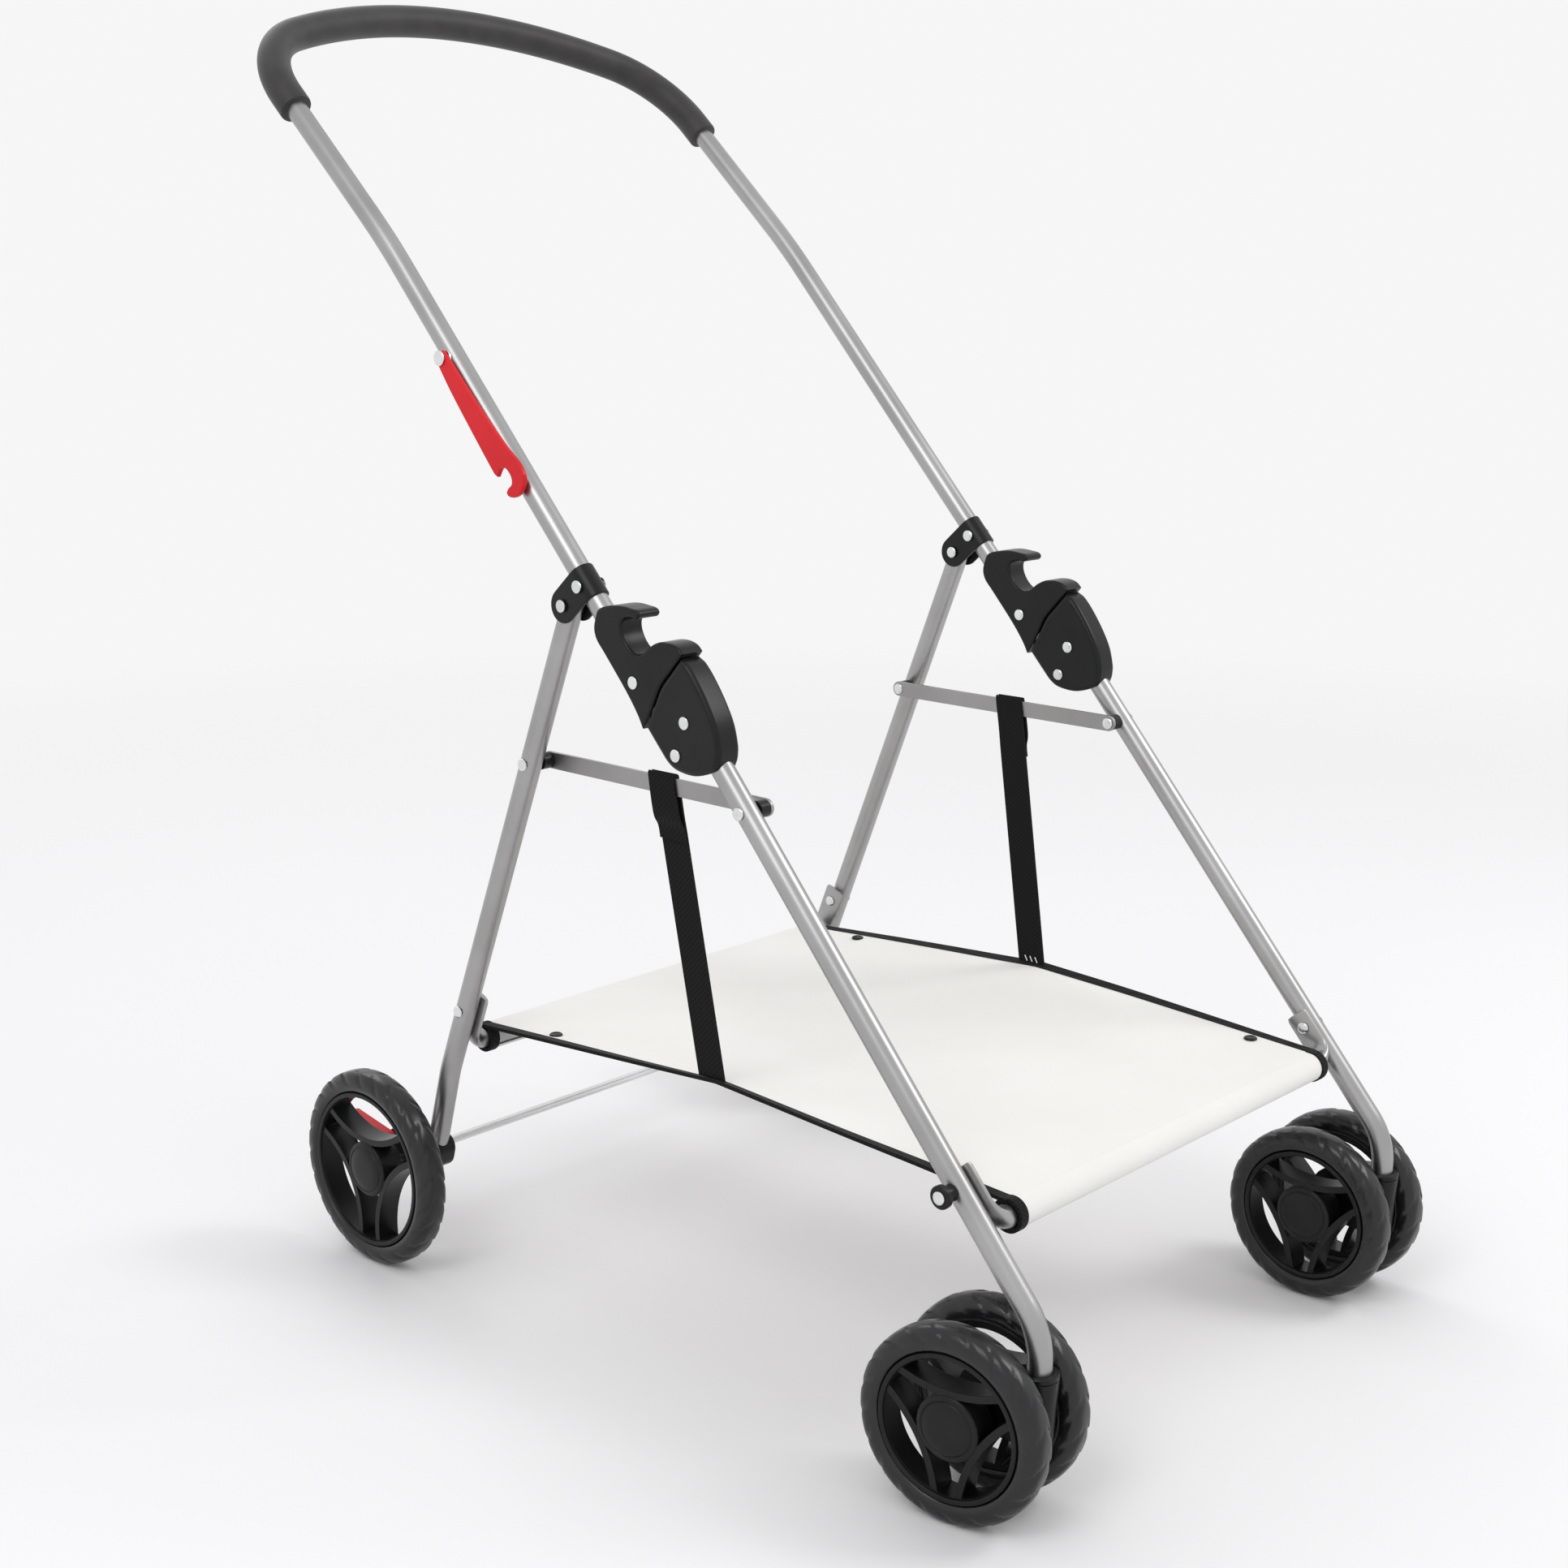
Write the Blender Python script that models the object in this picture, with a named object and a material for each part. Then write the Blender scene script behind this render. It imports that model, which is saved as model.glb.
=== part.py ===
"""Folding pet stroller frame, modelled as the separate pieces that it is built from.

Metres, +Z up. The casters are toward -Y and the push handle toward +Y. The origin
is on the floor below the middle of the frame. Pieces of one side are drawn in a leg
frame, where x runs outboard from the plane of the legs, and are then put on their side.
"""

import math

import bmesh
import bpy
from mathutils import Matrix, Vector

MM = 0.001
SIDES = (("right", -1), ("left", 1))

# Clearances
FIT = 0.3 * MM
SEAM_GAP = 0.5 * MM

# Tubes and their facets
LEG_PLANE = 214 * MM
TUBE_RADIUS = 8 * MM
TUBE_WALL = 1.2 * MM
TUBE_SIDES = 12

# Main fold pivot, and the directions of the tubes that meet there
FOLD_Y = -89.6 * MM
FOLD_Z = 443.5 * MM
HANDLE_ANGLE = math.radians(48)
FRONT_LEG_ANGLE = math.radians(49.4)
FRONT_LEG_OFFSET = 21.25 * MM

# Handle: straight arms, a slight bend back, and a U with rounded corners
HANDLE_BELOW_PIVOT = 10 * MM
HANDLE_BEND_AT = 450 * MM
HANDLE_BEND_ANGLE = math.radians(4.95)
HANDLE_BEND_RADIUS = 600 * MM
HANDLE_CORNER_RADIUS = 80 * MM
HANDLE_ARCH_RADIUS = 430 * MM
HANDLE_ARCH_HALF_ANGLE = math.radians(22.6)
HANDLE_CORNER_START = 156 * MM
GRIP_RADIUS = 12.5 * MM
GRIP_BELOW_CORNER = 16 * MM

# Front leg along its axis, measured from the foot of the fold pivot
FRONT_LEG_TOP = 23.5 * MM
FRONT_RIVET_AT = 11.5 * MM
LINK_FRONT_AT = -59.8 * MM
FRONT_CROSS_RIVET_AT = -336.4 * MM
FRONT_CROSS_DROP = 27.5 * MM
FRONT_BEND_AT = -435 * MM
FRONT_BEND_RADIUS = 50 * MM

# Strap bracket and rear leg
BRACKET_AT = 139.5 * MM
BRACKET_REACH = 22 * MM
BRACKET_WIDTH = 24.4 * MM
BRACKET_PLATE = 2.4 * MM
REAR_LEG_ANGLE = math.radians(22)
REAR_LEG_ABOVE_PIVOT = 8 * MM
REAR_LEG_BEND_AT = 402 * MM
REAR_LEG_BEND_RADIUS = 90 * MM
REAR_LEG_LOWER_ANGLE = math.radians(16.2)
LINK_REAR_AT = 127.7 * MM
REAR_CROSS_RIVET_AT = 346 * MM
REAR_CROSS_DROP = 34 * MM

# Cross tubes, flattened at their ends
CROSS_FLAT_HALF_THICKNESS = 2.2 * MM
CROSS_FLAT_HALF_WIDTH = 10 * MM
CROSS_FLAT_ABOVE_RIVET = 12 * MM
CROSS_BEND_RADIUS = 14 * MM

# Wheels
REAR_WHEEL_RADIUS = 77 * MM
FRONT_WHEEL_RADIUS = 65 * MM
WHEEL_SIDES = 20
TYRE_HALF_WIDTH = 11.5 * MM
TYRE_DEPTH = 15.5 * MM
TYRE_CROWN_HALF_WIDTH = 6 * MM
RIM_HALF_WIDTH = 9 * MM
RIM_LIP = 4.2 * MM
RIM_RIB = 5 * MM
HUB_RADIUS = 22 * MM
HUB_CAP_RADIUS = 15.5 * MM
HUB_CAP_PROUD = 3 * MM
HUB_BOSS_RADIUS = 9 * MM
HUB_BOSS_PROUD = 2 * MM
RIB_HALF_ANGLE = math.radians(49)
AXLE_RADIUS = 3.5 * MM
AXLE_IN_RIM = 7 * MM
REAR_WHEEL_OUT = 37.1 * MM

# Casters
CASTER_TRAIL = 44.7 * MM
CASTER_RISE = 37 * MM
CASTER_WHEEL_OUT = 25 * MM
CASTER_REST_TURN = math.radians(7.9)
COLLAR_FLANGE_RADIUS = 12.4 * MM
COLLAR_FLANGE = 3.5 * MM
COLLAR_RADIUS = 10 * MM
COLLAR_DEPTH = 22 * MM
COLLAR_FLOOR = 3.5 * MM
KINGPIN_RADIUS = 4 * MM
KINGPIN_LENGTH = 28 * MM
FORK_FOOT_RADIUS = 9.5 * MM
FORK_ARM_HALF_WIDTH = 7.5 * MM
FORK_BOSS_RADIUS = 10.5 * MM
FORK_BOSS_HALF_WIDTH = 12 * MM

# Rear axle sockets and brake pedals
SOCKET_RISE = 22.4 * MM
SOCKET_HALF_WIDTH = 10.5 * MM
SOCKET_DEPTH = 15 * MM
AXLE_BEHIND_SOCKET = 32.9 * MM
SOCKET_AXLE_BOSS = 11 * MM
PEDAL_PIVOT_BACK = 12 * MM
PEDAL_PIVOT_UP = 13 * MM
PEDAL_BOSS = 6.5 * MM
PEDAL_WIDTH = 10 * MM
PEDAL_TIP_BACK = 53 * MM
PEDAL_TIP_UP = 24 * MM
PEDAL_TIP_RADIUS = 3 * MM
PEDAL_GAP = 1.2 * MM

# Hinge housing and latch lever
HOUSING_HALF_WIDTH = 10.5 * MM
HOUSING_CHAMFER = 2.5 * MM
SLOT_HALF_WIDTH = 8.4 * MM
LEVER_RIVET_AT = 59.4 * MM
LEVER_TRAVEL = 8 * MM
LEVER_CHAMFER = 1.5 * MM

# Link bars with their spacers
SPACER_LENGTH = 8.3 * MM
SPACER_RADIUS = 6 * MM
BAR_THICKNESS = 2.7 * MM
BAR_HALF_WIDTH = 6.2 * MM

# Rivets
RIVET_HEAD = 4.5 * MM
RIVET_HEAD_HEIGHT = 1.6 * MM
RIVET_SHANK = 2.5 * MM
RIVET_SIDES = 8

# Latch stud and hook
STUD_LENGTH = 11.5 * MM
STUD_WAIST = 4.6 * MM
STUD_FLANGE = 7.7 * MM
STUD_FLANGE_THICKNESS = 4.3 * MM
STUD_FOOT = 1.5 * MM
HOOK_AT = 340.5 * MM
HOOK_TURN = math.radians(-1)
HOOK_THICKNESS = 4.2 * MM
HOOK_STANDOFF = 1.7 * MM

# Latch springs in the handle tube
SPRING_RADIUS = 5 * MM
SPRING_WIRE = 0.6 * MM
SPRING_TURNS = 7
SPRING_STEPS = 6

# Basket sheet, snaps and straps
SHEET_THICKNESS = 2 * MM
SHEET_HALF_WIDTH = 188 * MM
SHEET_PEAK_AT = 0.5
SHEET_LIFT = 16.5 * MM
SHEET_SAG = 12 * MM
HEM_RADIUS = 9.8 * MM
HEM_WRAP = math.radians(205)
HEM_STEPS = 7
SNAP_RADIUS = 5 * MM
SNAP_HEIGHT = 2.5 * MM
SNAP_INSET = 14 * MM
STRAP_AT = 0.453
STRAP_WIDTH = 25 * MM
STRAP_THICKNESS = 1.6 * MM
STRAP_TAIL = 30 * MM
STRAP_LEAN = 0.165

# Finishes: colour, metallic, roughness
FINISHES = {
    "anodised_tube": ((0.62, 0.62, 0.62), 1.0, 0.35),
    "painted_steel": ((0.45, 0.44, 0.43), 0.8, 0.45),
    "bright_steel": ((0.8, 0.8, 0.8), 1.0, 0.2),
    "black_plastic": ((0.014, 0.014, 0.015), 0.0, 0.42),
    "red_plastic": ((0.68, 0.02, 0.025), 0.0, 0.35),
    "foam": ((0.02, 0.02, 0.021), 0.0, 0.9),
    "tyre": ((0.02, 0.02, 0.021), 0.0, 0.6),
    "sheet_cloth": ((0.83, 0.82, 0.80), 0.0, 0.9),
    "webbing": ((0.008, 0.008, 0.009), 0.0, 0.85),
}


# Directions and places
X_AXIS = Vector((1, 0, 0))
HANDLE_DIRECTION = Vector((0, math.cos(HANDLE_ANGLE), math.sin(HANDLE_ANGLE)))
HANDLE_FORWARD = Vector((0, -math.sin(HANDLE_ANGLE), math.cos(HANDLE_ANGLE)))
FOLD_PIVOT = Vector((0, FOLD_Y, FOLD_Z))
FRONT_LEG_DIRECTION = Vector((0, math.cos(FRONT_LEG_ANGLE), math.sin(FRONT_LEG_ANGLE)))
REAR_LEG_DIRECTION = Vector((0, math.sin(REAR_LEG_ANGLE), -math.cos(REAR_LEG_ANGLE)))


def on_handle(along, forward=0.0, x=0.0):
    """A point of the leg frame given along and forward of the handle's lower arm."""
    return FOLD_PIVOT + HANDLE_DIRECTION * along + HANDLE_FORWARD * forward + X_AXIS * x


def on_front_leg(along, x=0.0):
    """A point on the front leg's axis, in the leg frame."""
    return on_handle(0, FRONT_LEG_OFFSET) + FRONT_LEG_DIRECTION * along + X_AXIS * x


REAR_PIVOT = on_handle(BRACKET_AT, -BRACKET_REACH)


def on_rear_leg(along, x=0.0):
    """A point on the rear leg's axis, measured down from its pivot."""
    return REAR_PIVOT + REAR_LEG_DIRECTION * along + X_AXIS * x


LINK_FRONT = on_front_leg(LINK_FRONT_AT)
LINK_REAR = on_rear_leg(LINK_REAR_AT)
FRONT_CROSS_RIVET = on_front_leg(FRONT_CROSS_RIVET_AT)
FRONT_CROSS = on_front_leg(FRONT_CROSS_RIVET_AT - FRONT_CROSS_DROP)
REAR_CROSS_RIVET = on_rear_leg(REAR_CROSS_RIVET_AT)
REAR_CROSS = on_rear_leg(REAR_CROSS_RIVET_AT + REAR_CROSS_DROP)
KINGPIN_BEND = on_front_leg(FRONT_BEND_AT)
COLLAR_TOP = FRONT_WHEEL_RADIUS + CASTER_RISE
CASTER_AXLE = Vector((0, KINGPIN_BEND.y + CASTER_TRAIL, FRONT_WHEEL_RADIUS))
REAR_BEND = on_rear_leg(REAR_LEG_BEND_AT)
REAR_LOWER = Vector((0, math.sin(REAR_LEG_LOWER_ANGLE), -math.cos(REAR_LEG_LOWER_ANGLE)))
SOCKET_TOP = REAR_BEND + REAR_LOWER * (
    (REAR_BEND.z - REAR_WHEEL_RADIUS - SOCKET_RISE) / math.cos(REAR_LEG_LOWER_ANGLE))
REAR_AXLE = Vector((0, SOCKET_TOP.y + AXLE_BEHIND_SOCKET, REAR_WHEEL_RADIUS))
PEDAL_PIVOT = REAR_AXLE + Vector((0, PEDAL_PIVOT_BACK, PEDAL_PIVOT_UP))
PEDAL_TIP = REAR_AXLE + Vector((0, PEDAL_TIP_BACK, PEDAL_TIP_UP))
HOOK_PIVOT = on_handle(HOOK_AT)

TUBE_SIDE = TUBE_RADIUS + FIT
HOUSING_SIDE = HOUSING_HALF_WIDTH + FIT
BRACKET_INNER = TUBE_RADIUS + 1.3 * FIT
BRACKET_SIDE = BRACKET_INNER + BRACKET_PLATE + FIT
CROSS_FLAT_X = -(TUBE_SIDE + CROSS_FLAT_HALF_THICKNESS)
CROSS_FLAT_SIDE = -(TUBE_SIDE + 2 * CROSS_FLAT_HALF_THICKNESS + FIT)
SPACER_END = TUBE_SIDE + SPACER_LENGTH
BAR_OUTER = SPACER_END + FIT
BAR_INNER = BAR_OUTER + BAR_THICKNESS
RIVET_HOLE = (RIVET_SHANK + FIT) / math.cos(math.pi / RIVET_SIDES)
TUBE_BORE = (TUBE_RADIUS + FIT) / math.cos(math.pi / TUBE_SIDES)


# Scene helpers
rest_places = {}
finish_cache = {}


def clear_scene():
    """Remove every object that the file starts with."""
    for item in list(bpy.data.objects):
        bpy.data.objects.remove(item, do_unlink=True)


def finish(name):
    """The Principled material of one finish."""
    if name not in finish_cache:
        colour, metallic, roughness = FINISHES[name]
        material = bpy.data.materials.new(name)
        material.use_nodes = True
        shader = material.node_tree.nodes["Principled BSDF"]
        shader.inputs["Base Color"].default_value = (*colour, 1)
        shader.inputs["Metallic"].default_value = metallic
        shader.inputs["Roughness"].default_value = roughness
        finish_cache[name] = material
    return finish_cache[name]


def pivot(name, place, parent=None, turn=0.0):
    """An empty on a joint's axis, which carries the pieces that move with it."""
    empty = bpy.data.objects.new(name, None)
    bpy.context.scene.collection.objects.link(empty)
    start = Vector((0, 0, 0))
    if parent:
        empty.parent = parent
        start = rest_places[parent.name]
    empty.location = place - start
    empty.rotation_euler.z = turn
    rest_places[name] = place.copy()
    return empty


def add_piece(name, bm, finish_name, origin, parent=None, smooth=True):
    """Make an object from a bmesh in scene coordinates, with its origin where given."""
    bmesh.ops.translate(bm, verts=bm.verts, vec=-origin)
    mesh = bpy.data.meshes.new(name)
    bm.to_mesh(mesh)
    bm.free()
    if smooth:
        mesh.shade_smooth()
        mesh.set_sharp_from_angle(angle=math.radians(35))
    piece = bpy.data.objects.new(name, mesh)
    bpy.context.scene.collection.objects.link(piece)
    if finish_name:
        mesh.materials.append(finish(finish_name))
    start = Vector((0, 0, 0))
    if parent:
        piece.parent = parent
        start = rest_places[parent.name]
    piece.location = origin - start
    return piece


def combine(piece, bm, operation):
    """Cut a shape out of a piece, or unite the two, with a hidden helper object."""
    origin = piece.location.copy()
    if piece.parent:
        origin += rest_places[piece.parent.name]
    name = piece.name + "_" + operation.lower()
    helper = add_piece(name, bm, None, origin, piece.parent, smooth=False)
    helper.hide_render = True
    helper.display_type = "WIRE"
    modifier = piece.modifiers.new(name, "BOOLEAN")
    modifier.operation = operation
    modifier.object = helper


def to_side(bm, side, plane=LEG_PLANE):
    """Take a shape from the leg frame to its side of the stroller."""
    for vertex in bm.verts:
        vertex.co.x = side * (vertex.co.x + plane)
    if side < 0:
        bmesh.ops.reverse_faces(bm, faces=bm.faces)
    return bm


def at_side(point, side, x=0.0, plane=LEG_PLANE):
    """Take a point from the leg frame to its side of the stroller."""
    return Vector((side * (plane + x), point.y, point.z))


# Shape helpers
def rounded_path(corners, radii, steps):
    """The points of a polyline whose inner corners are arcs of the given radii."""
    points = [corners[0]]
    for index, (radius, count) in enumerate(zip(radii, steps), start=1):
        corner = corners[index]
        back = (corners[index - 1] - corner).normalized()
        ahead = (corners[index + 1] - corner).normalized()
        half = back.angle(ahead) / 2
        centre = corner + (back + ahead).normalized() * radius / math.sin(half)
        spoke = corner + back * radius / math.tan(half) - centre
        axis = back.cross(ahead)
        sweep = -(math.pi - 2 * half)
        for step in range(count + 1):
            turn = Matrix.Rotation(sweep * step / count, 3, axis)
            points.append(centre + turn @ spoke)
    points.append(corners[-1])
    return points


def add_ring(bm, centre, across, up, half_across, half_up, sides):
    """Add an oval ring, and return its corners and edges."""
    along = across.cross(up)
    columns = Matrix((across * half_across, up * half_up, along)).transposed()
    matrix = Matrix.Translation(centre) @ columns.to_4x4()
    verts = bmesh.ops.create_circle(bm, segments=sides, radius=1, matrix=matrix)["verts"]
    return verts, list({edge for vertex in verts for edge in vertex.link_edges})


def swept(path, radii, wall=None, across=X_AXIS, sides=TUBE_SIDES):
    """Sweep a round or oval section along a path. A wall leaves it hollow and open."""
    bm = bmesh.new()
    outer = []
    inner = []
    for index, centre in enumerate(path):
        before = path[max(index - 1, 0)]
        after = path[min(index + 1, len(path) - 1)]
        along = (after - before).normalized()
        across = (across - along * across.dot(along)).normalized()
        up = along.cross(across)
        half_across, half_up = radii[index]
        outer.append(add_ring(bm, centre, across, up, half_across, half_up, sides))
        if wall:
            bore = (half_across - wall, half_up - wall)
            inner.append(add_ring(bm, centre, across, up, *bore, sides))
    for rings in (outer, inner):
        for first, second in zip(rings, rings[1:]):
            bmesh.ops.bridge_loops(bm, edges=first[1] + second[1])
    for end in (0, -1):
        corners = outer[end][0]
        if not wall:
            bm.faces.new(corners)
            continue
        within = inner[end][0]
        for index in range(sides):
            after = (index + 1) % sides
            bm.faces.new((corners[index], corners[after], within[after], within[index]))
    bmesh.ops.recalc_face_normals(bm, faces=bm.faces)
    return bm


def round_tube(path, radius, wall=None, sides=TUBE_SIDES):
    """A round tube or bar along a path."""
    return swept(path, [(radius, radius)] * len(path), wall, sides=sides)


def turned(profile, sides, closed=False, phase=0.0):
    """Turn a profile of (x, radius) points round the X axis."""
    bm = bmesh.new()
    verts = [bm.verts.new((x, 0, radius)) for x, radius in profile]
    pairs = list(zip(verts, verts[1:]))
    if closed:
        pairs.append((verts[-1], verts[0]))
    edges = [bm.edges.new(pair) for pair in pairs]
    bmesh.ops.rotate(bm, verts=verts, cent=(0, 0, 0), matrix=Matrix.Rotation(phase, 3, "X"))
    bmesh.ops.spin(bm, geom=verts + edges, cent=(0, 0, 0), axis=(1, 0, 0),
                   angle=2 * math.pi, steps=sides, use_merge=True)
    bmesh.ops.remove_doubles(bm, verts=bm.verts, dist=0.001 * MM)
    bmesh.ops.recalc_face_normals(bm, faces=bm.faces)
    return bm


def moved(bm, place, upright=False):
    """Move a shape turned about X to its place. Upright ones have X turned to +Z."""
    if upright:
        bmesh.ops.rotate(bm, verts=bm.verts, cent=(0, 0, 0), matrix=Matrix.Rotation(-math.pi / 2, 3, "Y"))
    bmesh.ops.translate(bm, verts=bm.verts, vec=place)
    return bm


def prism(points, depth):
    """Extrude a flat outline of points by a vector."""
    bm = bmesh.new()
    face = bm.faces.new([bm.verts.new(point) for point in points])
    grown = bmesh.ops.extrude_face_region(bm, geom=[face])
    top = [item for item in grown["geom"] if isinstance(item, bmesh.types.BMVert)]
    bmesh.ops.translate(bm, verts=top, vec=depth)
    bmesh.ops.recalc_face_normals(bm, faces=bm.faces)
    return bm


def plate(outline, x0, x1, chamfer=0.0):
    """Extrude an outline of leg-frame points across x, with chamfered rims if asked."""
    bm = prism([Vector((x0, point.y, point.z)) for point in outline], Vector((x1 - x0, 0, 0)))
    if chamfer:
        rims = [edge for edge in bm.edges if abs(edge.verts[0].co.x - edge.verts[1].co.x) < 0.01 * MM]
        bmesh.ops.bevel(bm, geom=rims, offset=chamfer, segments=1, profile=0.5,
                        affect="EDGES", material=-1)
    return bm


def around(circles, steps=16):
    """The convex outline round circles of (centre, radius), as leg-frame points."""
    points = []
    for centre, radius in circles:
        for step in range(steps):
            angle = 2 * math.pi * (step + 0.5) / steps
            points.append((centre.y + radius * math.cos(angle), centre.z + radius * math.sin(angle)))
    points.sort()
    chain = []
    for run in (points, points[::-1]):
        start = len(chain)
        for point in run:
            while len(chain) >= start + 2 and turns_right(chain[-2], chain[-1], point):
                chain.pop()
            chain.append(point)
        chain.pop()
    return [Vector((0, y, z)) for y, z in chain]


def turns_right(first, second, third):
    """Whether three points of the plane turn right, or run straight."""
    cross = (second[0] - first[0]) * (third[1] - first[1])
    cross -= (second[1] - first[1]) * (third[0] - first[0])
    return cross <= 0


def cross_pin(place, x0, x1, radius, sides=RIVET_SIDES):
    """A plain round bar along x, also used to cut a hole."""
    return moved(turned([(x0, 0), (x0, radius), (x1, radius), (x1, 0)], sides), place)


def rivet(place, x0, x1):
    """A rivet along x whose heads bear at x0 and x1."""
    profile = rivet_end(x0, -1) + rivet_end(x1, 1)[::-1]
    return moved(turned(profile, RIVET_SIDES), place)


def rivet_end(x, outward):
    """Half the profile of a rivet, from the middle of its head to its shank."""
    top = x + outward * RIVET_HEAD_HEIGHT
    return [(top, 0), (top, 0.7 * RIVET_HEAD), (x, RIVET_HEAD), (x, RIVET_SHANK)]


def drill(piece, place, side, x0, x1, radius=RIVET_HOLE):
    """Drill a hole along x through a piece of one side."""
    combine(piece, to_side(cross_pin(place, x0, x1, radius), side), "DIFFERENCE")


# Front frame
def build_front_legs():
    """Two tubes, bent upright above the casters, with their rivets swaged in."""
    bottom = Vector((0, KINGPIN_BEND.y, COLLAR_TOP - COLLAR_DEPTH + COLLAR_FLOOR + FIT))
    path = rounded_path([on_front_leg(FRONT_LEG_TOP), KINGPIN_BEND, bottom], [FRONT_BEND_RADIUS], [4])
    for name, side in SIDES:
        tube = to_side(round_tube(path, TUBE_RADIUS, TUBE_WALL), side)
        leg = add_piece("front_leg_" + name, tube, "anodised_tube", at_side(FOLD_PIVOT, side))
        top_rivet = rivet(on_front_leg(FRONT_RIVET_AT), -HOUSING_SIDE, HOUSING_SIDE)
        combine(leg, to_side(top_rivet, side), "UNION")
        outer = TUBE_SIDE if side > 0 else TUBE_SIDE + STUD_LENGTH + FIT
        combine(leg, to_side(rivet(FRONT_CROSS_RIVET, CROSS_FLAT_SIDE, outer), side), "UNION")
        drill(leg, LINK_FRONT, side, -2 * TUBE_RADIUS, 2 * TUBE_RADIUS)


def housing_outline():
    """Side view of the hinge housing, whose top edge is the seam to the lever."""
    points = seam_points(0.0)
    rear = -(TUBE_RADIUS + 3.5 * MM)
    foot = on_foot_line()
    points += [on_handle(0, rear), on_handle(-8 * MM, -8 * MM), on_handle(-18 * MM, 2.5 * MM)]
    points += foot
    points += [on_handle(-19 * MM, 36 * MM), on_handle(-6 * MM, 42.5 * MM), on_handle(10 * MM, 46.5 * MM)]
    points += [on_handle(28 * MM, 48.5 * MM)]
    return points


def on_foot_line():
    """The two corners where the front leg leaves the housing."""
    rear_side = FRONT_LEG_OFFSET - TUBE_RADIUS + 7 * MM
    front_side = FRONT_LEG_OFFSET + TUBE_RADIUS + 2.5 * MM
    return [on_handle(-28 * MM, rear_side), on_handle(-25 * MM, front_side)]


def seam_points(gap):
    """The seam between housing and lever, from its front end to its rear end."""
    steps = ((45.5, 46.5), (44.2, 33), (42.5, 18.5), (37, 4), (31, -11.5))
    return [on_handle(along * MM + gap, forward * MM) for along, forward in steps]


def build_housings():
    """Two shells that hold the leg tops, slotted so that the handle can swing out."""
    for name, side in SIDES:
        shell = plate(housing_outline(), -HOUSING_HALF_WIDTH, HOUSING_HALF_WIDTH, HOUSING_CHAMFER)
        housing = add_piece("hinge_housing_" + name, to_side(shell, side), "black_plastic",
                            at_side(FOLD_PIVOT, side))
        slot = [on_handle(70 * MM, -30 * MM), on_handle(70 * MM, FRONT_LEG_OFFSET - 7 * MM),
                on_handle(28 * MM, FRONT_LEG_OFFSET), on_handle(-60 * MM, FRONT_LEG_OFFSET),
                on_handle(-60 * MM, -30 * MM)]
        combine(housing, to_side(plate(slot, -SLOT_HALF_WIDTH, SLOT_HALF_WIDTH), side), "DIFFERENCE")
        bore_path = [on_front_leg(-60 * MM), on_front_leg(FRONT_LEG_TOP + FIT)]
        combine(housing, to_side(round_tube(bore_path, TUBE_BORE), side), "DIFFERENCE")
        for place in (on_front_leg(FRONT_RIVET_AT), FOLD_PIVOT):
            drill(housing, place, side, -2 * HOUSING_HALF_WIDTH, 2 * HOUSING_HALF_WIDTH)


def build_front_pins():
    """The pins that the handle and the link bars turn on."""
    inner_end = rivet_end(-(BAR_INNER + FIT), -1)
    profile = inner_end + shoulder() + rivet_end(TUBE_SIDE, 1)[::-1]
    for name, side in SIDES:
        pin = to_side(rivet(FOLD_PIVOT, -HOUSING_SIDE, HOUSING_SIDE), side)
        add_piece("fold_pin_" + name, pin, "bright_steel", at_side(FOLD_PIVOT, side))
        pin = to_side(moved(turned(profile, RIVET_SIDES), LINK_FRONT), side)
        add_piece("front_link_pin_" + name, pin, "bright_steel", at_side(LINK_FRONT, side))


def shoulder():
    """The profile of the shoulder that holds a link bar off its leg."""
    return [(-SPACER_END, RIVET_SHANK), (-SPACER_END, SPACER_RADIUS), (-TUBE_SIDE, SPACER_RADIUS),
            (-TUBE_SIDE, RIVET_SHANK)]


def cross_tube(rivet_place, direction, axis_place):
    """A tube flattened at both ends, which lie on the inner sides of two legs."""
    flat = (CROSS_FLAT_HALF_THICKNESS, CROSS_FLAT_HALF_WIDTH)
    start = rivet_place - direction * CROSS_FLAT_ABOVE_RIVET
    half = rounded_path([start, axis_place, axis_place - X_AXIS * LEG_PLANE], [CROSS_BEND_RADIUS], [4])
    half = half[:-1]
    radii = [flat]
    for step in range(len(half) - 1):
        share = (step / 4) ** 2
        radii.append(tuple(size + (TUBE_RADIUS - size) * share for size in flat))
    left = [point + X_AXIS * (LEG_PLANE + CROSS_FLAT_X) for point in half]
    right = [Vector((-point.x, point.y, point.z)) for point in left]
    return swept(left + right[::-1], radii + radii[::-1])


def build_front_cross_tube():
    """The tube at the front edge of the basket sheet."""
    tube = cross_tube(FRONT_CROSS_RIVET, -FRONT_LEG_DIRECTION, FRONT_CROSS)
    piece = add_piece("front_cross_tube", tube, "anodised_tube", FRONT_CROSS)
    for _, side in SIDES:
        drill(piece, FRONT_CROSS_RIVET, side, 2 * CROSS_FLAT_SIDE, 0)


def build_latch_stud():
    """The bobbin on the right front leg that the transport hook catches."""
    start = TUBE_SIDE
    end = start + STUD_LENGTH
    shoulder = end - STUD_FLANGE_THICKNESS
    profile = [(start, STUD_WAIST + 1 * MM), (start + STUD_FOOT, STUD_WAIST), (shoulder - 1 * MM, STUD_WAIST),
               (shoulder, STUD_FLANGE), (end, STUD_FLANGE), (end, RIVET_HOLE), (start, RIVET_HOLE)]
    stud = to_side(moved(turned(profile, TUBE_SIDES, closed=True), FRONT_CROSS_RIVET), -1)
    add_piece("latch_stud", stud, "black_plastic", at_side(FRONT_CROSS_RIVET, -1))


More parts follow.
